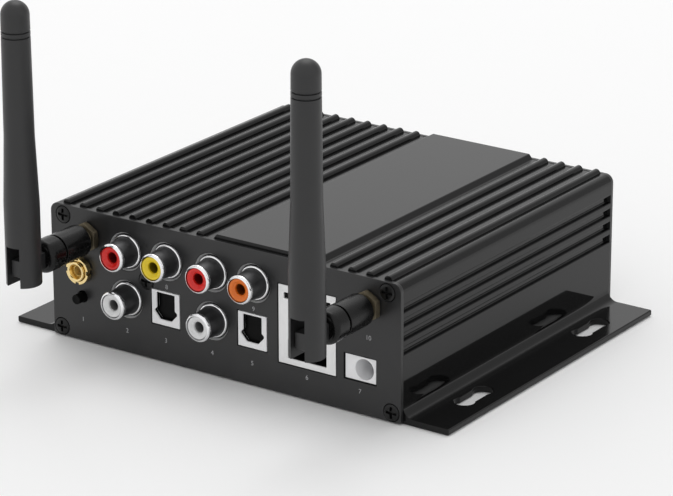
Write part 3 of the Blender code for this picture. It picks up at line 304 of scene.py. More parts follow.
# Finishes: colour, roughness and what sets each apart from the plain one
NOISE_DETAIL = 3.0
CLOUD_RANGE = (0.3, 0.7)  # noise values between which colour and gloss change
LEAST_ROUGHNESS = 0.01
DRAWN = (1, 0.02, 1)  # lines along Y left by the extrusion
FLANGE_HEIGHTS = (FLANGE_THICKNESS + FLANGE_FILLET, FLANGE_THICKNESS)
ROOF_HEIGHTS = (VALLEY - BODY_CORNER, VALLEY)
BLACK = (0.003, 0.003, 0.003)
FINISHES = {
    "housing_black": ((0.004, 0.004, 0.0041), 0.05,
                      dict(specular=0.28, patchy=0.01, depth=0.0003 * MM, stretch=DRAWN,
                           matt_beyond=(FLANGE_HEIGHTS, ROOF_HEIGHTS), matt=0.14)),
    "panel_black": ((0.015, 0.015, 0.0155), 0.36, dict(grain=0.35 * MM, depth=0.003 * MM)),
    "screw_black": ((0.006, 0.006, 0.006), 0.35, dict(specular=0.3, cloud=1 * MM)),
    "antenna_black": ((0.0145, 0.0145, 0.015), 0.42, dict(grain=0.18 * MM, depth=0.004 * MM)),
    "sleeve_black": (BLACK, 0.26, dict(specular=0.25, cloud=2 * MM, patchy=0.03, depth=0.001 * MM)),
    # very dark black with little sheen: real black parts, and the painted shade in the optical mouths and
    # panel openings
    "deep_black": (BLACK, 0.55, dict(specular=0.08, cloud=2 * MM)),
    "black_plastic": ((0.01, 0.01, 0.01), 0.4, dict()),
    "shutter_plastic": ((0.004, 0.004, 0.004), 0.4, dict(specular=0.08, cloud=3 * MM)),
    "grey_plastic": ((0.87, 0.87, 0.88), 0.4, dict(shade=0.03, cloud=3 * MM)),
    "grey_metal": ((0.86, 0.86, 0.86), 0.34, dict(metallic=0.2, shade=0.03, cloud=4 * MM)),
    "chrome": ((0.86, 0.86, 0.87), 0.18,
               dict(metallic=1.0, shade=0.03, cloud=2 * MM, patchy=0.03, depth=0.0004 * MM)),
    # satin metal of the phono barrels; its dark colour is a painted reflection of the dark panel
    "dark_painted_satin_metal": ((0.12, 0.12, 0.123), 0.42, dict(metallic=1.0, cloud=2 * MM)),
    "bare_metal": ((0.55, 0.55, 0.55), 0.5, dict(metallic=0.2, cloud=1 * MM)),
    "steel": ((0.5, 0.5, 0.5), 0.3, dict(metallic=1.0)),
    "gold_plate": ((0.88, 0.69, 0.34), 0.2,
                   dict(metallic=1.0, shade=0.06, cloud=1.5 * MM, depth=0.0008 * MM)),
    "gold_satin": ((0.8, 0.6, 0.22), 0.5, dict(metallic=0.3, shade=0.06, cloud=1.5 * MM)),
    "dull_brass": ((0.17, 0.145, 0.1), 0.6, dict(metallic=1.0, cloud=1.5 * MM)),
    "board_green": ((0.012, 0.075, 0.03), 0.45, dict(cloud=5 * MM, shade=0.25)),
    "number_ink": ((0.36, 0.36, 0.37), 0.5, dict(cloud=0.6 * MM)),
    "studio_floor": ((0.93, 0.93, 0.93), 0.7,
                     dict(specular=0.2, cloud=0.5, shade=0.005, grain=0.01, depth=0.0)),
}
INSERT_COLOURS = {
    "red": (0.66, 0.012, 0.008),
    "yellow": (0.78, 0.58, 0.012),
    "orange": (0.7, 0.15, 0.006),
    "white": (0.72, 0.72, 0.72),
}
HOLE_SHADE = 0.2  # share of an insert's colour kept in the painted shade that lines its hole


def middle(node):
    low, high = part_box(node)
    return (low + high) / 2


def size(node):
    low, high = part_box(node)
    return high - low


def on_face(node):
    """Point of the connector panel's face in front of a node."""
    point = middle(node)
    return Vector((point.x, FACE_Y, point.z))


def from_face(node):
    """How far a node reaches along Y from the connector panel's face, nearest end first."""
    low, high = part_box(node)
    return low.y - FACE_Y, high.y - FACE_Y


# Outlines, counter-clockwise
def arc(centre, radius, start, end, steps=QUARTER_STEPS):
    """Points on a circle from one angle to another, in degrees, both ends included."""
    turn = math.radians(end - start) / steps
    angles = [math.radians(start) + turn * step for step in range(steps + 1)]
    return [(centre[0] + radius * math.cos(a), centre[1] + radius * math.sin(a)) for a in angles]


def circle(centre, radius, steps=ROUND_STEPS):
    return arc(centre, radius, 0, 360, steps)[:-1]


def rectangle(left, right, bottom, top):
    return [(left, bottom), (right, bottom), (right, top), (left, top)]


def mirrored(points):
    """The same points on the other side of x = 0, in the opposite order."""
    return [(-x, z) for x, z in reversed(points)]


def rounded(points, radius, closed=True, steps=CORNER_STEPS):
    """The points with their corners rounded off; an open line keeps its ends."""
    result = []
    last = len(points) - 1
    for index, point in enumerate(points):
        if not closed and index in (0, last):
            result.append(point)
            continue
        corner = Vector(point)
        before = Vector(points[index - 1]) - corner
        after = Vector(points[(index + 1) % len(points)]) - corner
        reach = min(radius, CORNER_SHARE * before.length, CORNER_SHARE * after.length)
        start = corner + before.normalized() * reach
        end = corner + after.normalized() * reach
        for step in range(steps + 1):
            share = step / steps
            result.append(tuple(start.lerp(corner, share).lerp(corner.lerp(end, share), share)))
    return result


def grown(points, distance):
    """The outline moved outward by a distance; a negative one draws it in."""
    result = []
    for index, point in enumerate(points):
        here = Vector(point)
        back = (here - Vector(points[index - 1])).normalized()
        on = (Vector(points[(index + 1) % len(points)]) - here).normalized()
        first = Vector((back.y, -back.x))
        second = Vector((on.y, -on.x))
        shift = (first + second) * distance / max(1 + first.dot(second), MITRE_LIMIT)
        result.append(tuple(here + shift))
    return result


# Shapes
def point_on(axis, across, up, along):
    """A point given by its place in an outline and its place along an axis."""
    return {"X": (along, across, up), "Y": (across, along, up), "Z": (across, up, along)}[axis]


def rim(start, end, edge, hole=False):
    """Places along a sweep and the outline's growth there, for ends that are rounded over."""
    sign = 1 if hole else -1
    turns = [math.pi / 2 * step / EDGE_STEPS for step in range(EDGE_STEPS + 1)]
    near = [(start + edge * (1 - math.cos(t)), sign * edge * (1 - math.sin(t))) for t in turns]
    return near + [(start + end - along, growth) for along, growth in reversed(near)]


def skin(shape, rings):
    """Faces between closed rings of corners that follow one another."""
    for near, far in zip(rings, rings[1:]):
        for index in range(len(near)):
            shape.faces.new((near[index - 1], near[index], far[index], far[index - 1]))


def sweep(parts, axis="Y"):
    """Outlines swept along an axis, each with its (place, growth) pairs; holes follow the outside."""
    shape = bmesh.new()
    first_cap = []
    last_cap = []
    for outline, stations in parts:
        rings = []
        for along, growth in stations:
            points = grown(outline, growth)
            rings.append([shape.verts.new(point_on(axis, *point, along)) for point in points])
        skin(shape, rings)
        for ring, cap in ((rings[0], first_cap), (rings[-1], last_cap)):
            cap += [shape.edges.get((ring[index - 1], ring[index])) for index in range(len(ring))]
    for cap in (first_cap, last_cap):
        bmesh.ops.triangle_fill(shape, use_beauty=True, edges=cap)
    return shape


def plate(outline, holes, start, end, edge, axis="Y"):
    """Outline with holes, swept along an axis, with all its rims rounded over."""
    parts = [(outline, rim(start, end, edge))]
    parts += [(hole, rim(start, end, edge, hole=True)) for hole in holes]
    return sweep(parts, axis)


def turned(profile, axis="Y", ring=False, steps=ROUND_STEPS):
    """Profile of (radius, place along the axis) spun about the axis; a ring's profile is closed."""
    shape = bmesh.new()
    corners = [shape.verts.new(point_on(axis, radius, 0, along)) for radius, along in profile]
    pairs = list(zip(corners, corners[1:]))
    if ring:
        pairs.append((corners[-1], corners[0]))
    edges = [shape.edges.new(pair) for pair in pairs]
    bmesh.ops.spin(shape, geom=corners + edges, cent=(0, 0, 0), axis=point_on(axis, 0, 0, 1),
                   angle=math.tau, steps=steps)
    bmesh.ops.remove_doubles(shape, verts=shape.verts[:], dist=WELD)
    return shape


def threaded(radius, start, end):
    """Rod along Y with a screw thread cut into it, running out at both ends."""
    shape = bmesh.new()
    rows = round((end - start) / THREAD_PITCH * THREAD_ROWS)
    rings = []
    for row in range(rows + 1):
        along = start + (end - start) * row / rows
        runout = min(1, (along - start) / THREAD_PITCH, (end - along) / THREAD_PITCH)
        ring = []
        for step in range(SMALL_STEPS):
            phase = (along / THREAD_PITCH - step / SMALL_STEPS) % 1
            reach = radius - THREAD_DEPTH * runout * abs(2 * phase - 1)
            angle = math.tau * step / SMALL_STEPS
            ring.append(shape.verts.new((reach * math.cos(angle), along, reach * math.sin(angle))))
        rings.append(ring)
    skin(shape, rings)
    shape.faces.new(rings[0])
    shape.faces.new(rings[-1])
    return shape


def placed(shape, place):
    bmesh.ops.translate(shape, verts=shape.verts[:], vec=place)
    return shape


def gathered(shapes):
    """Several separate shapes in one mesh."""
    whole = bmesh.new()
    scratch = bpy.data.meshes.new("scratch")
    for shape in shapes:
        shape.to_mesh(scratch)
        shape.free()
        whole.from_mesh(scratch)
    bpy.data.meshes.remove(scratch)
    return whole


def mesh_of(shape, name):
    bmesh.ops.recalc_face_normals(shape, faces=shape.faces[:])
    mesh = bpy.data.meshes.new(name)
    shape.to_mesh(mesh)
    shape.free()
    return mesh


def link(name, data):
    thing = bpy.data.objects.new(name, data)
    bpy.context.scene.collection.objects.link(thing)
    return thing


def combined(shape, tool, operation="DIFFERENCE"):
    """Boolean of two closed shapes, as a new shape."""
    things = [link("scratch", mesh_of(part, "scratch")) for part in (shape, tool)]
    change = things[0].modifiers.new("combine", "BOOLEAN")
    change.operation = operation
    change.solver = "EXACT"
    change.object = things[1]
    result = bmesh.new()
    result.from_object(things[0], bpy.context.evaluated_depsgraph_get())
    for thing in things:
        mesh = thing.data
        bpy.data.objects.remove(thing)
        bpy.data.meshes.remove(mesh)
    bmesh.ops.remove_doubles(result, verts=result.verts[:], dist=WELD)
    return result


# Finishes
def link_noise(tree, source, grain_size):
    """Noise whose features are about as large as the given size."""
    noise = tree.nodes.new("ShaderNodeTexNoise")
    noise.inputs["Scale"].default_value = 1 / grain_size
    noise.inputs["Detail"].default_value = NOISE_DETAIL
    tree.links.new(source, noise.inputs["Vector"])
    return noise.outputs["Fac"]


def remapped(tree, value, source, target, interpolation="LINEAR"):
    """Value carried from one range into another; the ranges' ends are numbers or sockets."""
    node = tree.nodes.new("ShaderNodeMapRange")
    node.interpolation_type = interpolation
    tree.links.new(value, node.inputs["Value"])
    for name, limit in zip(("From Min", "From Max", "To Min", "To Max"), (*source, *target)):
        if isinstance(limit, bpy.types.NodeSocket):
            tree.links.new(limit, node.inputs[name])
        else:
            node.inputs[name].default_value = limit
    return node.outputs["Result"]


def larger(tree, first, second):
    """The larger one of two values."""
    node = tree.nodes.new("ShaderNodeMath")
    node.operation = "MAXIMUM"
    tree.links.new(first, node.inputs[0])
    tree.links.new(second, node.inputs[1])
    return node.outputs["Value"]


def finish(name, colour, roughness, metallic=0.0, specular=0.5, cloud=8 * MM, shade=0.12, patchy=0.05,
           grain=0.25 * MM, depth=0.002 * MM, stretch=(1, 1, 1), matt_beyond=(), matt=0.0):
    """Procedural finish: clouded colour and gloss over a fine grain, which may be drawn out.

    Each pair of heights in matt_beyond is where the roughness starts to change and where it is matt.
    """
    look = bpy.data.materials.new(name)
    look.use_nodes = True
    tree = look.node_tree
    shader = tree.nodes["Principled BSDF"]
    shader.inputs["Metallic"].default_value = metallic
    shader.inputs["Specular IOR Level"].default_value = specular
    coordinates = tree.nodes.new("ShaderNodeTexCoord").outputs["Object"]
    mapping = tree.nodes.new("ShaderNodeMapping")
    mapping.inputs["Scale"].default_value = stretch
    tree.links.new(coordinates, mapping.inputs["Vector"])
    clouds = link_noise(tree, coordinates, cloud)
    fine = link_noise(tree, mapping.outputs["Vector"], grain)

    ramp = tree.nodes.new("ShaderNodeValToRGB")
    shades = [(1 - shade) * c for c in colour], [min(c * (1 + shade), 1) for c in colour]
    for element, position, tone in zip(ramp.color_ramp.elements, CLOUD_RANGE, shades):
        element.position = position
        element.color = (*tone, 1)
    tree.links.new(clouds, ramp.inputs["Fac"])
    tree.links.new(ramp.outputs["Color"], shader.inputs["Base Color"])

    gloss = (max(roughness - patchy, LEAST_ROUGHNESS), roughness + patchy)
    level = remapped(tree, clouds, CLOUD_RANGE, gloss)
    for heights in matt_beyond:
        place = tree.nodes.new("ShaderNodeSeparateXYZ")
        tree.links.new(coordinates, place.inputs["Vector"])
        level = remapped(tree, place.outputs["Z"], heights, (level, matt))
    tree.links.new(level, shader.inputs["Roughness"])

    bump = tree.nodes.new("ShaderNodeBump")
    bump.inputs["Strength"].default_value = 1.0
    bump.inputs["Distance"].default_value = depth
    tree.links.new(fine, bump.inputs["Height"])
    tree.links.new(bump.outputs["Normal"], shader.inputs["Normal"])
    return look


def all_looks():
    finishes = dict(FINISHES)
    for name, colour in INSERT_COLOURS.items():
        # each insert colour also gets a darker copy, painted shade for inside its hole
        dark = [HOLE_SHADE * c for c in colour]
        finishes[f"{name}_plastic"] = (colour, 0.35, dict(shade=0.04, cloud=2 * MM))
        finishes[f"{name}_shade"] = (dark, 0.5, dict(specular=0.2, cloud=1 * MM))
    return {name: finish(name, *usual, **special) for name, (*usual, special) in finishes.items()}


# Pieces
def show(name, shape, slot, nodes=(), body="root", place=(0, 0, 0), turn=0.0, look=None):
    """Makes a shape a visible piece that rides on a body and stands for CAD nodes."""
    mesh = mesh_of(shape, name)
    mesh.transform(Matrix.Translation(place) @ Matrix.Rotation(turn, 4, "Z"))
    mesh.shade_smooth()
    mesh.set_sharp_from_angle(angle=SHARP_ANGLE)
    mesh.materials.append(LOOKS[look or slot])
    piece = link(name, mesh)
    piece.modifiers.new("even_normals", "WEIGHTED_NORMAL").keep_sharp = True
    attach(piece, body)
    if nodes:
        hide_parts(*nodes)


# Housing
def rib(x):
    """One half-oval rib from right to left."""
    half_circle = arc((0, 0), 1, 0, 180, RIB_STEPS)
    return [(x + RIB_WIDTH / 2 * across, VALLEY + RIB_HEIGHT * up) for across, up in half_circle]


def roof_outline():
    """Ribs and flat band from right to left."""
    outermost = HALF_WIDTH - RIB_EDGE
    half = BAND_WIDTH / 2
    crest = BODY_TOP + BAND_HEIGHT
    slope = [(half + 2 * BAND_CHAMFER, VALLEY), (half + BAND_CHAMFER, VALLEY), (half, crest)]
    band = [(BAND_CENTRE + x, z) for x, z in slope + mirrored(slope)]
    points = [point for index in range(RIBS_RIGHT) for point in rib(outermost - index * RIB_PITCH)]
    points += rounded(band, BAND_ROUND, closed=False)
    left = [index * RIB_PITCH - outermost for index in reversed(range(RIBS_LEFT))]
    return points + [point for x in left for point in rib(x)]


def wall_outline():
    """Right flange and grooved wall from the underside up to the roof."""
    tip = HALF_WIDTH + FLANGE_WIDTH
    turn = FLANGE_TIP_ROUND
    points = arc((tip - turn, turn), turn, -90, 0, CORNER_STEPS)
    points += arc((tip - turn, FLANGE_THICKNESS - turn), turn, 0, 90, CORNER_STEPS)
    fillet = (HALF_WIDTH + FLANGE_FILLET, FLANGE_THICKNESS + FLANGE_FILLET)
    points += arc(fillet, FLANGE_FILLET, 270, 180)
    wall = [(HALF_WIDTH, points[-1][1] + turn)]
    for index in reversed(range(GROOVE_COUNT)):
        top = BODY_TOP - GROOVE_DROP - index * GROOVE_PITCH
        ledge = top - GROOVE_HEIGHT
        wall += [(HALF_WIDTH, ledge), (HALF_WIDTH - GROOVE_DEPTH, ledge)]
        wall += [(HALF_WIDTH - GROOVE_DEPTH, top), (HALF_WIDTH, top)]
    wall.append((HALF_WIDTH, BODY_TOP - BODY_CORNER - turn))
    points += rounded(wall, GROOVE_ROUND, closed=False)
    return points + arc((HALF_WIDTH - BODY_CORNER, BODY_TOP - BODY_CORNER), BODY_CORNER, 0, 90)


def cavity_outline():
    """Inside of the housing with screw bosses and the slots that hold the board."""
    low_screw = middle(CORNER_SCREWS[3])
    high_screw = middle(CORNER_SCREWS[1])
    board_low, board_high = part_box("main_board")
    inside = HALF_WIDTH - WALL
    seat = board_high.z + GAP
    rail = inside - RAIL_REACH
    foot = low_screw.x - BOSS
    boss = high_screw.x - BOSS
    points = [(foot, FLOOR), (foot, board_low.z - GAP), (inside, board_low.z - GAP)]
    points += [(inside, seat), (rail, seat), (rail, seat + RAIL_HEIGHT), (inside, seat + RAIL_HEIGHT)]
    points += [(inside, high_screw.z - BOSS), (boss, high_screw.z - BOSS), (boss, BODY_TOP - ROOF)]
    return points + mirrored(points)


def keyhole_cutter(x, y):
    """Two round lobes joined by a waist, along Y, chamfered at both faces of the flange."""
    reach = math.degrees(math.asin(KEYHOLE_WAIST / 2 / KEYHOLE_LOBE))
    lobe_y = KEYHOLE_LOBE_SPACING / 2
    far_lobe = arc((x, y + lobe_y), KEYHOLE_LOBE, reach - 90, 270 - reach, SMALL_STEPS)
    near_lobe = arc((x, y - lobe_y), KEYHOLE_LOBE, reach + 90, 450 - reach, SMALL_STEPS)
    flare = KEYHOLE_CHAMFER
    stations = [(-flare, 2 * flare), (flare, 0)]
    stations += [(FLANGE_THICKNESS - flare, 0), (FLANGE_THICKNESS + flare, 2 * flare)]
    return sweep([(far_lobe + near_lobe, stations)], "Z")


def build_housing():
    outer = wall_outline() + roof_outline() + mirrored(wall_outline())
    screws = [middle(node) for node in CORNER_SCREWS]
    holes = [circle((point.x, point.z), SCREW_HOLE, SMALL_STEPS) for point in screws]
    shape = plate(outer, [cavity_outline()] + holes, SHELL_LOW.y, SHELL_HIGH.y, HOUSING_EDGE)
    x = HALF_WIDTH + KEYHOLE_OFFSET
    places = [end * KEYHOLE_SPACING / 2 + KEYHOLE_SHIFT for end in (-1, 1)]
    cutters = [keyhole_cutter(side * x, y) for side in (-1, 1) for y in places]
    show("housing_extrusion", combined(shape, gathered(cutters)), "housing_black", ["housing"])


# End panels and screws
def panel_outline():
    foot = PANEL_FOOT_CORNER
    points = arc((PANEL_HIGH.x - foot, PANEL_LOW.z + foot), foot, -90, 0, CORNER_STEPS)
    points += arc((PANEL_HIGH.x - BODY_CORNER, PANEL_HIGH.z - BODY_CORNER), BODY_CORNER, 0, 90)
    return points + mirrored(points)


def countersunk(node):
    """Screw hole with its conical seat, as a hole of a panel."""
    point = middle(node)
    mouth = SCREW_HEAD + GAP - SCREW_HOLE
    stations = [(0, mouth), (SCREW_LAND, mouth), (PANEL_BACK, mouth + SCREW_LAND - PANEL_BACK)]
    return circle((point.x, point.z), SCREW_HOLE, SMALL_STEPS), stations


def box_opening(node, height=None):
    """Opening round a connector that stands in the panel, as high as its front."""
    low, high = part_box(node)
    bottom = high.z - height if height else low.z
    return rounded(rectangle(low.x - GAP, high.x + GAP, bottom - GAP, high.z + GAP), GAP)


def round_opening(node, radius):
    point = middle(node)
    return circle((point.x, point.z), radius)


def connector_openings():
    shells = [f"phono_shell_{number}" for number in range(1, len(PHONO_COLOURS) + 1)]
    openings = [round_opening(node, size(node).x / 2 + PHONO_HOLE_GAP) for node in shells]
    openings += [box_opening(f"optical_{way}_frame", OPTICAL_HEIGHT) for way in ("in", "out")]
    openings += [box_opening("lan_usb_shield"), box_opening("dc_jack_body", DC_HEIGHT)]
    openings.append(round_opening("trigger_jack_nut", TRIGGER_BARREL + GAP))
    openings.append(round_opening("reset_button", size("reset_button").x / 2 + GAP))
    return openings + [round_opening(f"{side}_antenna_nut", THREAD + GAP) for side in ("left", "right")]


def screw():
    """Countersunk cross-head screw along Y, its head at the origin."""
    cone = SCREW_LAND + SCREW_HEAD - SCREW_SHANK
    crown = [(0, -SCREW_CROWN)]
    crown += [(across * SCREW_HEAD, -up * SCREW_CROWN) for across, up in CROWN_SHARES]
    rest = [(SCREW_HEAD, 0), (SCREW_HEAD, SCREW_LAND), (SCREW_SHANK, cone)]
    rest += [(SCREW_SHANK, SCREW_LENGTH - SCREW_POINT), (0, SCREW_LENGTH)]
    profile = rounded(crown + rest, FINE_EDGE, closed=False, steps=EDGE_STEPS)
    quarter = [(CROSS_HALF, -CROSS_REACH), (CROSS_HALF, -CROSS_HALF), (CROSS_REACH, -CROSS_HALF)]
    outline = quarter + [(x, -z) for x, z in reversed(quarter)]
    cross = [*outline, *[(-x, -z) for x, z in outline]]
    stations = [(-2 * SCREW_CROWN, CROSS_TAPER), (CROSS_DEPTH - SCREW_CROWN, -CROSS_TAPER)]
    return combined(turned(profile, steps=SMALL_STEPS), sweep([(cross, stations)]))


def build_panels():
    outline = (panel_outline(), [*rim(0, PANEL_BACK, PLATE_EDGE)[:EDGE_STEPS + 1], (PANEL_BACK, 0)])
    openings = [(hole, rim(0, PANEL_BACK, PLATE_EDGE, hole=True)) for hole in connector_openings()]
    seats = [countersunk(node) for node in CORNER_SCREWS]
    connector = sweep([outline, *openings, *seats, countersunk("phono_block_screw")])
    face = Vector((0, FACE_Y, 0))
    show("connector_plate", connector, "panel_black", ["connector_panel"], place=face)
    show("front_plate", sweep([outline, *seats]), "panel_black", ["front_panel"], place=-face, turn=math.pi)
    for node in [*CORNER_SCREWS, "phono_block_screw"]:
        show(f"{node}_cross_head", screw(), "screw_black", [node], place=on_face(node))
    for node in FRONT_SCREWS:
        point = middle(node)
        show(f"{node}_cross_head", screw(), "screw_black", [node], place=(point.x, -FACE_Y, point.z),
             turn=math.pi)


# Dark pieces inside the sockets
def show_dark(name, shape, place):
    show(name, shape, "black_plastic", place=place, look="deep_black")


def lining(outline, start, end):
    """Thin tube that sits just inside a mouth."""
    return plate(grown(outline, -LINING_GAP), [grown(outline, -LINING_GAP - LINING)], start, end, LINING_GAP)


def line_opening(name, node, height=None):
    """Dark lining of the panel's opening round a box-shaped connector, painted shade in the gap."""
    shape = lining(box_opening(node, height), PLATE_EDGE, PANEL_THICKNESS)
    show_dark(name, shape, (0, FACE_Y, 0))


# Phono jacks
def phono_collar():
    """Rounded plated lip round the mouth."""
    front = -PHONO_REACH
    step = front + PHONO_COLLAR_LENGTH
    centre = (PHONO_COLLAR - PHONO_LIP, front + PHONO_LIP)
    lip = arc(centre, PHONO_LIP, *PHONO_LIP_ANGLES, 2 * QUARTER_STEPS)
    return turned(lip + [(PHONO_NECK, step), (PHONO_BORE, step)], ring=True)


def phono_flange(radius):
    """Plated ring with a rounded rim, level with the panel's face."""
    inner = PHONO_BARREL + LINING_GAP
    profile = [(inner, 0), *arc((radius - PHONO_RING, PHONO_RING), PHONO_RING, -90, 0)]
    return turned(profile + [(radius, PANEL_THICKNESS), (inner, PANEL_THICKNESS)], ring=True)


def phono_cone(radius):
    """Bare metal edge of the panel's hole, sloping in towards the flange."""
    hole = radius + PHONO_HOLE_GAP - LINING_GAP
    foot = radius + PHONO_CONE_GAP
    profile = [(hole, PHONO_CONE_DROP), (foot, PHONO_CONE_DEPTH), (foot, PANEL_THICKNESS)]
    return turned(profile + [(hole, PANEL_THICKNESS)], ring=True)


def phono_barrel():
    """Tapered tube between the collar and the flange."""
    step = LINING_GAP + PHONO_COLLAR_LENGTH - PHONO_REACH
    profile = [(PHONO_NECK, step), (PHONO_BARREL, PANEL_THICKNESS)]
    profile += [(PHONO_BORE, PANEL_THICKNESS), (PHONO_BORE, step)]
    return turned(profile, ring=True)


def phono_insert():
    radius = PHONO_BORE - SNUG
    front = PHONO_INSERT_DROP - PHONO_REACH
    floor = PANEL_THICKNESS - PHONO_FLOOR
    profile = [(0, PANEL_THICKNESS), (radius, PANEL_THICKNESS), (radius, front), (PHONO_FACE, front)]
    profile += [(PHONO_SOCKET, front + PHONO_FUNNEL_DEPTH), (PHONO_SOCKET, floor), (0, floor)]
    return turned(rounded(profile, PHONO_INSERT_EDGE, closed=False))


def build_phono():
    for number, colour in enumerate(PHONO_COLOURS, 1):
        shell = f"phono_shell_{number}"
        insert = f"phono_insert_{number}"
        place = on_face(shell)
        radius = size(shell).x / 2
        plated = gathered([phono_collar(), phono_flange(radius)])
        show(f"{shell}_plated", plated, "chrome", [shell], place=place)
        # the barrel's dark metal colour paints in its reflection of the dark panel
        show(f"{shell}_barrel", phono_barrel(), "chrome", place=place, look="dark_painted_satin_metal")
        show(f"{insert}_{colour}", phono_insert(), f"{colour}_plastic", [insert], place=place)
        show(f"{shell}_hole_edge", phono_cone(radius), "grey_metal", place=place, look="bare_metal")
        # a tube in the darker copy of the insert's colour lines the hole below its rim: painted shade
        start = PHONO_INSERT_DROP + PHONO_FUNNEL_DEPTH + PHONO_SHADE_DROP - PHONO_REACH
        hole = circle((0, 0), PHONO_SOCKET, SMALL_STEPS)
        shape = lining(hole, start, PANEL_THICKNESS - PHONO_FLOOR - LINING_GAP)
        show(f"{insert}_shade", shape, f"{colour}_plastic", place=place, look=f"{colour}_shade")


# Optical sockets
def stepped_body(node, front_height, edge):
    """Block whose part behind the panel reaches down to the board; x is counted from its middle."""
    low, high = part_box(node)
    near, back = from_face(node)
    bottom = high.z - front_height
    outline = [(near, bottom), (BEHIND_PANEL, bottom), (BEHIND_PANEL, low.z)]
    outline += [(back, low.z), (back, high.z), (near, high.z)]
    half = (high.x - low.x) / 2
    return plate(rounded(outline, edge), [], -half, half, edge, "X")


def mouth_outline(bottom, top):
    """Keyed mouth of an optical socket."""
    sill = bottom + MOUTH_BOTTOM
    key = bottom + KEY_HEIGHT
    half_key = KEY_SIZE / 2
    right = [(SILL_HALF, sill), (KEY_HALF, key - half_key), (KEY_HALF, key)]
    right += [(MOUTH_HALF, key + half_key), (MOUTH_HALF, top - MOUTH_TOP)]
    return rounded(right + mirrored(right), SOFT_EDGE, steps=EDGE_STEPS)


def build_optical(way):
    node = f"optical_{way}_frame"
    near, back = from_face(node)
    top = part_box(node)[1].z
    bottom = top - OPTICAL_HEIGHT
    half = size(node).x / 2 - OPTICAL_SIDE
    inner = near + OPTICAL_LIP
    body = stepped_body(node, OPTICAL_HEIGHT, OPTICAL_EDGE)
    room = rectangle(-half, half, bottom + OPTICAL_SIDE, top - MOUTH_TOP)
    body = combined(body, sweep([(room, [(inner, 0), (back - OPTICAL_LIP, 0)])]))
    stations = [(near - OPTICAL_EDGE, 2 * OPTICAL_EDGE), (near + OPTICAL_EDGE, 0)]
    stations.append((inner + OPTICAL_LIP / 2, 0))
    mouth = sweep([(mouth_outline(bottom, top), stations)])
    place = (middle(node).x, FACE_Y, 0)
    show(f"{node}_moulding", combined(body, mouth), "grey_plastic", [node], place=place)
    # dark tube inside the mouth: painted shade on its walls
    shape = lining(mouth_outline(bottom, top), near + LINING_DROP, inner)
    show_dark(f"optical_{way}_lining", shape, place)

    flap = f"optical_{way}_shutter"
    low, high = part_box(flap)
    half = (high.x - low.x) / 2
    outline = rounded(rectangle(-half, half, low.y, high.y), FINE_EDGE, steps=FLAP_STEPS)
    shape = plate(outline, [], low.z, high.z, FINE_EDGE, "Z")
    show(f"{flap}_flap", shape, "shutter_plastic", [flap], body=flap, place=(middle(flap).x, 0, 0))


# Network and bus socket, with z counted from its underside
def port_outline():
    """Network port with a step below it for the plug's latch."""
    half = PORT_WIDTH / 2
    latch = LATCH_WIDTH / 2
    right = [(latch, PORT_SILL - LATCH_HEIGHT), (latch, PORT_SILL), (half, PORT_SILL), (half, PORT_TOP)]
    return right + mirrored(right)


def light_outlines():
    """The two indicator windows above the port."""
    half = LIGHT_WIDTH / 2
    top = LIGHT_SILL + LIGHT_HEIGHT
    return [rectangle(x - half, x + half, LIGHT_SILL, top) for x in (-LIGHT_OFFSET, LIGHT_OFFSET)]


def side_by_side(outline, count, pitch, width, edge):
    """Equal plates in a row along X, about the middle."""
    places = [(index - (count - 1) / 2) * pitch for index in range(count)]
    return gathered([plate(outline, [], x - width / 2, x + width / 2, edge, "X") for x in places])


def build_lan_shield(place, near, back):
    extent = size("lan_usb_shield")
    outside = rectangle(-extent.x / 2, extent.x / 2, 0, extent.z)
    bus = rectangle(-BUS_WIDTH / 2, BUS_WIDTH / 2, BUS_SILL, BUS_TOP)
    holes = [rounded(hole, SOFT_EDGE) for hole in (port_outline(), bus, *light_outlines())]
    shape = plate(rounded(outside, SOFT_EDGE), holes, near, back, PLATE_EDGE)
    show("lan_usb_shield_can", shape, "grey_metal", ["lan_usb_shield"], place=place)
    linings = [lining(hole, near + LINING_DROP, near + LINING_DEPTH) for hole in holes[:2]]
    show_dark("lan_usb_linings", gathered(linings), place)
    # painted shade in the gap round the shield's opening
    line_opening("lan_usb_opening_painted_shade", "lan_usb_shield")


def build_lan_contacts(place, plug, back):
    near = from_face("lan_contact_block")[0]
    half = PORT_WIDTH / 2 - GAP
    top = PORT_TOP - GAP
    comb = top - CONTACT_THICKNESS
    bottom = PORT_SILL + GAP
    block = [(near, comb), (plug, comb), (plug, bottom), (back, bottom), (back, top), (near, top)]
    shape = plate(rounded(block, CONTACT_EDGE), [], -half, half, CONTACT_EDGE, "X")
    show("lan_contact_block_comb", shape, "black_plastic", ["lan_contact_block"], place=place,
         look="deep_black")
    wire = [(near + WIRE_WIDTH, comb), (near + WIRE_WIDTH, comb - WIRE_WIDTH)]
    wire += [(plug, comb - WIRE_FALL - WIRE_WIDTH), (plug, comb - WIRE_FALL)]
    wires = side_by_side(wire, WIRE_COUNT, WIRE_PITCH, WIRE_WIDTH, FINE_EDGE)
    show("lan_contact_wires", wires, "gold_plate", place=place)


def build_bus_tongue(place, plug, back):
    tip = from_face("usb_tongue")[0]
    half = BUS_WIDTH / 2 - GAP
    low = BUS_SILL + GAP
    high = BUS_TOP - GAP
    under = high - BUS_TONGUE
    tongue = [(tip, under), (plug, under), (plug, low), (back, low), (back, high), (tip, high)]
    shape = plate(rounded(tongue, SOFT_EDGE), [], -half, half, SOFT_EDGE, "X")
    show("usb_tongue_moulding", shape, "black_plastic", ["usb_tongue"], place=place)
    pad = rectangle(tip + PAD_WIDTH, plug, under - PAD_THICKNESS, under + PAD_THICKNESS)
    pads = side_by_side(pad, PAD_COUNT, PAD_PITCH, PAD_WIDTH, PAD_EDGE)
    show("usb_tongue_pads", pads, "gold_plate", place=place)


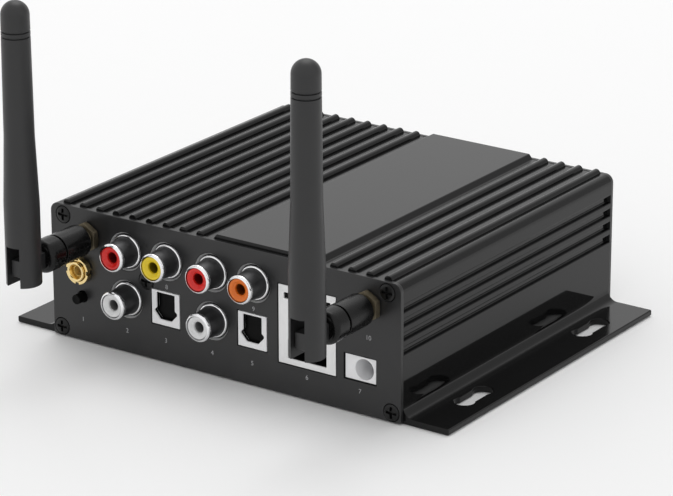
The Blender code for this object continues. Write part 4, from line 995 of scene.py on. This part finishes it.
def build_lan():
    near, back = from_face("lan_usb_shield")
    plug = back - SOCKET_BACK
    place = Vector((middle("lan_usb_shield").x, FACE_Y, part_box("lan_usb_shield")[0].z))
    build_lan_shield(place, near, back)
    build_lan_contacts(place, plug, back)
    build_bus_tongue(place, plug, back)
    lights = [grown(light, -SNUG) for light in light_outlines()]
    pipes = [plate(light, [], near + GAP, near + LIGHT_DEPTH, SNUG) for light in lights]
    show_dark("lan_light_pipes", gathered(pipes), place)


# Power socket
def build_dc():
    node = "dc_jack_body"
    near, back = from_face(node)
    pin = middle("dc_jack_pin")
    radius = size("dc_jack_pin").x / 2
    axis = (pin.x - middle(node).x, 0, pin.z)
    bore = [(0, near - DC_MOUTH), (DC_BORE + 2 * DC_MOUTH, near - DC_MOUTH), (DC_BORE, near + DC_MOUTH)]
    bore += [(DC_BORE, near + DC_BORE_DEPTH), (0, near + DC_BORE_DEPTH)]
    pin_hole = [(0, near), (radius + SNUG, near), (radius + SNUG, back + GAP), (0, back + GAP)]
    shape = combined(stepped_body(node, DC_HEIGHT, SOFT_EDGE), placed(turned(bore), axis))
    shape = combined(shape, placed(turned(pin_hole, steps=SMALL_STEPS), axis))
    show("dc_jack_moulding", shape, "grey_plastic", [node], place=(middle(node).x, FACE_Y, 0))
    # painted shade in the gap round the socket's opening
    line_opening("dc_jack_opening_painted_shade", node, DC_HEIGHT)

    tip, end = from_face("dc_jack_pin")
    profile = [(0, tip), (radius, tip), (radius, end), (0, end)]
    profile = rounded(profile, DC_TIP_SHARE * radius, closed=False, steps=DC_TIP_STEPS)
    shape = turned(profile, steps=SMALL_STEPS)
    show("dc_jack_centre_pin", shape, "chrome", ["dc_jack_pin"], place=on_face("dc_jack_pin"))


# Trigger jack
def notched_outline(radius):
    outline = []
    half_notch = math.degrees(math.asin(NUT_NOTCH_WIDTH / 2 / radius))
    quarter = 360 / NUT_NOTCHES
    for index in range(NUT_NOTCHES):
        start = index * quarter
        end = start + quarter - half_notch
        outline += arc((0, 0), radius, start + half_notch, end, 2 * QUARTER_STEPS)
        outline += arc((0, 0), radius - NUT_NOTCH_DEPTH, end, end + 2 * half_notch, NUT_NOTCH_STEPS)
    return outline


def build_trigger():
    place = on_face("trigger_jack_nut")
    front, back = from_face("trigger_jack_body")
    can = size("trigger_jack_body").x / 2
    bore_end = min(front + TRIGGER_BORE_DEPTH, back - TRIGGER_MOUTH)
    mouth = TRIGGER_BORE + TRIGGER_MOUTH
    profile = [(0, back), (can, back), (can, BEHIND_PANEL), (TRIGGER_BARREL, BEHIND_PANEL)]
    profile += [(TRIGGER_BARREL, front), (mouth, front), (TRIGGER_BORE, front + TRIGGER_FUNNEL)]
    profile += [(TRIGGER_BORE, bore_end), (0, bore_end)]
    shape = turned(rounded(profile, TRIGGER_ROUND, closed=False))
    show("trigger_jack_sleeve", shape, "gold_plate", ["trigger_jack_body"], place=place)
    hole = circle((0, 0), TRIGGER_BORE, SMALL_STEPS)
    shape = lining(hole, front + TRIGGER_FUNNEL, bore_end - LINING_GAP)
    show("trigger_jack_contact_tube", shape, "gold_plate", place=place, look="gold_satin")
    near, far = from_face("trigger_jack_nut")
    bore = circle((0, 0), TRIGGER_BARREL + SNUG)
    outline = notched_outline(size("trigger_jack_nut").x / 2)
    outline = rounded(outline, NUT_NOTCH_ROUND, steps=NUT_NOTCH_STEPS)
    shape = plate(outline, [bore], near, far, NUT_EDGE)
    show("trigger_jack_ring_nut", shape, "gold_plate", ["trigger_jack_nut"], place=place)


# Reset button
def build_reset():
    front, end = from_face("reset_button")
    radius = size("reset_button").x / 2
    profile = [(0, end), (radius, end), (radius, front)]
    profile += [(RESET_DISH_SHARE * radius, front), (0, front + RESET_DISH)]
    shape = turned(rounded(profile, RESET_EDGE, closed=False), steps=SMALL_STEPS)
    show("reset_button_cap", shape, "black_plastic", ["reset_button"], body="reset_button",
         place=on_face("reset_button"), look="deep_black")


# Antennas
def bulkhead(node):
    near, back = from_face(node)
    shoulder = size(node).x / 2
    shoulder_end = BEHIND_PANEL + SHOULDER_LENGTH
    profile = [(0, back), (TAIL, back), (TAIL, shoulder_end), (shoulder, shoulder_end)]
    profile += [(shoulder, BEHIND_PANEL), (0, BEHIND_PANEL)]
    rear = turned(rounded(profile, SOFT_EDGE, closed=False), steps=SMALL_STEPS)
    return combined(rear, threaded(THREAD, near, BEHIND_PANEL + GAP), "UNION")


def hex_nut(node):
    near, far = from_face(node)
    across = size(node).x / 2
    corner = 2 * across / math.sqrt(3)
    outline = arc((0, 0), corner, 90, 450, HEX_SIDES)[:-1]
    bore = circle((0, 0), THREAD + SNUG)
    shape = plate(outline, [bore], near, far, PLATE_EDGE / 2)
    cone = [(0, near), (across - HEX_CHAMFER / 2, near), (corner, near + HEX_CHAMFER)]
    cone += [(corner, far - HEX_CHAMFER), (across - HEX_CHAMFER / 2, far), (0, far)]
    return combined(shape, turned(cone), "INTERSECT")


def coupling(node, thread_end):
    far, near = from_face(node)
    radius = size(node).x / 2
    wall = THREAD + GAP
    socket = SPIGOT + GAP
    floor = far + SPIGOT_LENGTH
    neck = radius - SEAM_DEPTH
    seam = far + SEAM_WIDTH
    profile = [(0, thread_end - GAP), (wall, thread_end - GAP), (wall, near), (radius, near)]
    profile += [(radius, seam), (neck, seam), (neck, far), (socket, far), (socket, floor), (0, floor)]
    return turned(rounded(profile, SOFT_EDGE, closed=False, steps=SEAM_STEPS))


def knuckle(node, hinge):
    """Barrel with its spigot, and the hinge tongue, with y counted from the hinge axis."""
    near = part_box(node)[1].y - hinge.y - SPIGOT_LENGTH
    far = near - KNUCKLE_LENGTH
    radius = size(node).x / 2
    profile = [(0, near + SPIGOT_LENGTH), (SPIGOT, near + SPIGOT_LENGTH), (SPIGOT, near), (radius, near)]
    profile = rounded(profile + [(radius, far + KNUCKLE_EDGE)], COUPLING_EDGE, closed=False)
    profile += arc((radius - KNUCKLE_EDGE, far + KNUCKLE_EDGE), KNUCKLE_EDGE, 0, -90)[1:]
    barrel = turned(profile + [(0, far)])
    root = far + TONGUE_ROOT
    tongue = rectangle(-TONGUE_FRONT, root, -TONGUE_BELOW, TONGUE_ABOVE)
    outline = rounded(tongue, TONGUE_EDGE)
    hole = circle((0, 0), PIN_ROOM, SMALL_STEPS)
    half = TONGUE_WIDTH / 2
    return barrel, plate(outline, [hole], -half, half, TONGUE_EDGE, "X")


def blade_radius(height, top):
    """Radius of the blade at a height above its waist, counted from the hinge axis."""
    share = (height - BLADE_WAIST) / (top - BLADE_TOP_RADIUS - BLADE_WAIST)
    return BLADE_WAIST_RADIUS + (BLADE_TOP_RADIUS - BLADE_WAIST_RADIUS) * min(share, 1)


def blade(top):
    """Tapered blade about the hinge axis, with ring grooves, a round tip and a slot for the tongue."""
    foot = [(0, -BLADE_FOOT), (BLADE_FOOT_RADIUS, -BLADE_FOOT), (BLADE_FOOT_RADIUS, BLADE_TAPER_START)]
    foot.append((BLADE_WAIST_RADIUS, BLADE_WAIST))
    profile = rounded(foot, BLADE_BOTTOM_EDGE, closed=False)
    for drop in RING_DROPS:
        for across, down in RING_PROFILE:
            height = top - drop + across * RING_WIDTH
            profile.append((blade_radius(height, top) - down * RING_DEPTH, height))
    dome = arc((0, top - BLADE_TOP_RADIUS), BLADE_TOP_RADIUS, 0, 90, 2 * QUARTER_STEPS)
    shape = turned(profile + dome[:-1] + [(0, top)], "Z")
    reach = 2 * BLADE_FOOT_RADIUS
    swing = arc((0, 0), BLADE_SWING, 270, 360, 2 * QUARTER_STEPS)
    swing += [(reach, 0), (reach, top + reach), (-reach, top + reach), (-reach, -BLADE_SWING)]
    shape = combined(shape, sweep([(swing, [(-reach, 0), (reach, 0)])], "X"), "INTERSECT")
    half = TONGUE_WIDTH / 2 + GAP
    slot = rectangle(-reach, reach, -reach, BLADE_SLOT_TOP)
    shape = combined(shape, sweep([(slot, [(-half, 0), (half, 0)])], "X"))
    room = [(0, -PIN_ROOM_HALF), (PIN_ROOM, -PIN_ROOM_HALF), (PIN_ROOM, PIN_ROOM_HALF), (0, PIN_ROOM_HALF)]
    return combined(shape, turned(room, "X", steps=SMALL_STEPS))


def build_antenna(side):
    def node(part):
        return f"{side}_antenna_{part}"

    place = on_face(node("nut"))
    hinge = middle(node("hinge_pin"))
    thread_end = from_face(node("bulkhead"))[0]
    show(node("bulkhead_thread"), bulkhead(node("bulkhead")), "dull_brass", [node("bulkhead")], place=place)
    show(node("hex_nut"), hex_nut(node("nut")), "dull_brass", [node("nut")], place=place)
    shape = coupling(node("coupling"), thread_end)
    show(node("coupling_sleeve"), shape, "antenna_black", [node("coupling")], place=place,
         look="sleeve_black")
    barrel, tongue = knuckle(node("knuckle"), hinge)
    show(node("knuckle_joint"), barrel, "antenna_black", [node("knuckle")], body=f"{side}_swivel",
         place=hinge, look="sleeve_black")
    show(node("knuckle_tongue"), tongue, "antenna_black", body=f"{side}_swivel", place=hinge)
    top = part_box(node("blade"))[1].z - hinge.z
    show(node("blade_whip"), blade(top), "antenna_black", [node("blade")], body=f"{side}_blade", place=hinge)


# Printed numbers
def print_number(text, x, z):
    """Small printed number on the connector panel, centred on a point."""
    curve = bpy.data.curves.new("number", "FONT")
    curve.body = text
    curve.size = NUMBER_HEIGHT
    curve.align_x = curve.align_y = "CENTER"
    curve.extrude = NUMBER_THICKNESS / 2
    writing = link("number", curve)
    ready = writing.evaluated_get(bpy.context.evaluated_depsgraph_get())
    shape = bmesh.new()
    shape.from_mesh(ready.to_mesh())
    ready.to_mesh_clear()
    bpy.data.objects.remove(writing)
    bpy.data.curves.remove(curve)
    bmesh.ops.remove_doubles(shape, verts=shape.verts[:], dist=WELD)
    bmesh.ops.rotate(shape, verts=shape.verts[:], matrix=Matrix.Rotation(math.pi / 2, 3, "X"))
    show(f"panel_number_{text}", shape, None, place=(x, FACE_Y - NUMBER_THICKNESS / 2, z), look="number_ink")


def build_numbers():
    low = ["reset_button", "phono_shell_3", "optical_in_frame", "phono_shell_6", "optical_out_frame",
           "lan_usb_shield", "dc_jack_body"]
    for number, node in enumerate(low, 1):
        print_number(str(number), middle(node).x, NUMBER_LOW_Z)
    upper = ["phono_shell_2", "phono_shell_5", "right_antenna_nut"]
    for number, node in enumerate(upper, len(low) + 1):
        print_number(str(number), middle(node).x, NUMBER_MIDDLE_Z)


# Pieces inside the housing keep their solids and get a finish
def dress_inside():
    black = ["processor", "power_inductor", "filter_capacitor", "phono_block_left", "phono_block_right",
             "reset_switch_body", "left_antenna_lead", "right_antenna_lead"]
    metal = ["wireless_module", "left_antenna_hinge_pin", "right_antenna_hinge_pin"]
    for look, nodes in {"board_green": ["main_board"], "steel": metal, "black_plastic": black}.items():
        for node in nodes:
            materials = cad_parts[node].data.materials
            materials.clear()
            materials.append(LOOKS[look])


# Floor, light and camera
def build_floor():
    shape = bmesh.new()
    bmesh.ops.create_grid(shape, x_segments=FLOOR_CELLS, y_segments=FLOOR_CELLS, size=FLOOR_HALF)
    mesh = mesh_of(shape, "studio_floor")
    mesh.transform(Matrix.Translation((0, 0, -FLOOR_DROP)))
    mesh.materials.append(LOOKS["studio_floor"])
    link("studio_floor", mesh)


def build_world():
    """White surroundings that give off a little less light and are dimmer on one side in reflections."""
    world = bpy.data.worlds.new("studio")
    bpy.context.scene.world = world
    world.use_nodes = True
    tree = world.node_tree
    rays = tree.nodes.new("ShaderNodeLightPath").outputs
    seen = rays["Is Camera Ray"]
    for ray in ("Is Glossy Ray", "Is Transmission Ray"):
        seen = larger(tree, seen, rays[ray])
    way = tree.nodes.new("ShaderNodeVectorMath")
    way.operation = "DOT_PRODUCT"
    way.inputs[1].default_value = DIM_WAY
    tree.links.new(tree.nodes.new("ShaderNodeTexCoord").outputs["Generated"], way.inputs[0])
    reflected = remapped(tree, way.outputs["Value"], DIM_EDGES, (1.0, DIM_LEVEL), "SMOOTHSTEP")
    shown = larger(tree, reflected, rays["Is Camera Ray"])
    background = tree.nodes["Background"]
    background.inputs["Color"].default_value = (1, 1, 1, 1)
    tree.links.new(remapped(tree, seen, (0, 1), (SKY, shown)), background.inputs["Strength"])


def build_lamp():
    lamp = bpy.data.lights.new("key_light", "AREA")
    lamp.shape = "SQUARE"
    lamp.size = LAMP_SIZE
    lamp.energy = LAMP_POWER
    key = link("key_light", lamp)
    key.location = LAMP_PLACE
    key.rotation_euler = Vector(LAMP_PLACE).to_track_quat("Z", "Y").to_euler()


def build_camera():
    data = bpy.data.cameras.new("camera")
    data.sensor_fit = "HORIZONTAL"
    data.sensor_width = SENSOR
    data.lens = FOCAL_PIXELS * SENSOR / IMAGE_WIDTH
    camera = link("camera", data)
    turn = Matrix.Rotation(CAMERA_AZIMUTH, 4, "Z")
    turn @= Matrix.Rotation(math.pi / 2 - CAMERA_ELEVATION, 4, "X")
    turn @= Matrix.Rotation(CAMERA_ROLL, 4, "Z")
    camera.matrix_world = Matrix.Translation(CAMERA_PLACE) @ turn
    bpy.context.scene.camera = camera


LOOKS = all_looks()
build_camera()
build_world()
build_lamp()
build_floor()
build_housing()
build_panels()
build_phono()
for way in ("in", "out"):
    build_optical(way)
build_lan()
build_dc()
build_trigger()
build_reset()
for side in ("left", "right"):
    build_antenna(side)
build_numbers()
dress_inside()

bpy.context.scene.view_settings.view_transform = "Standard"
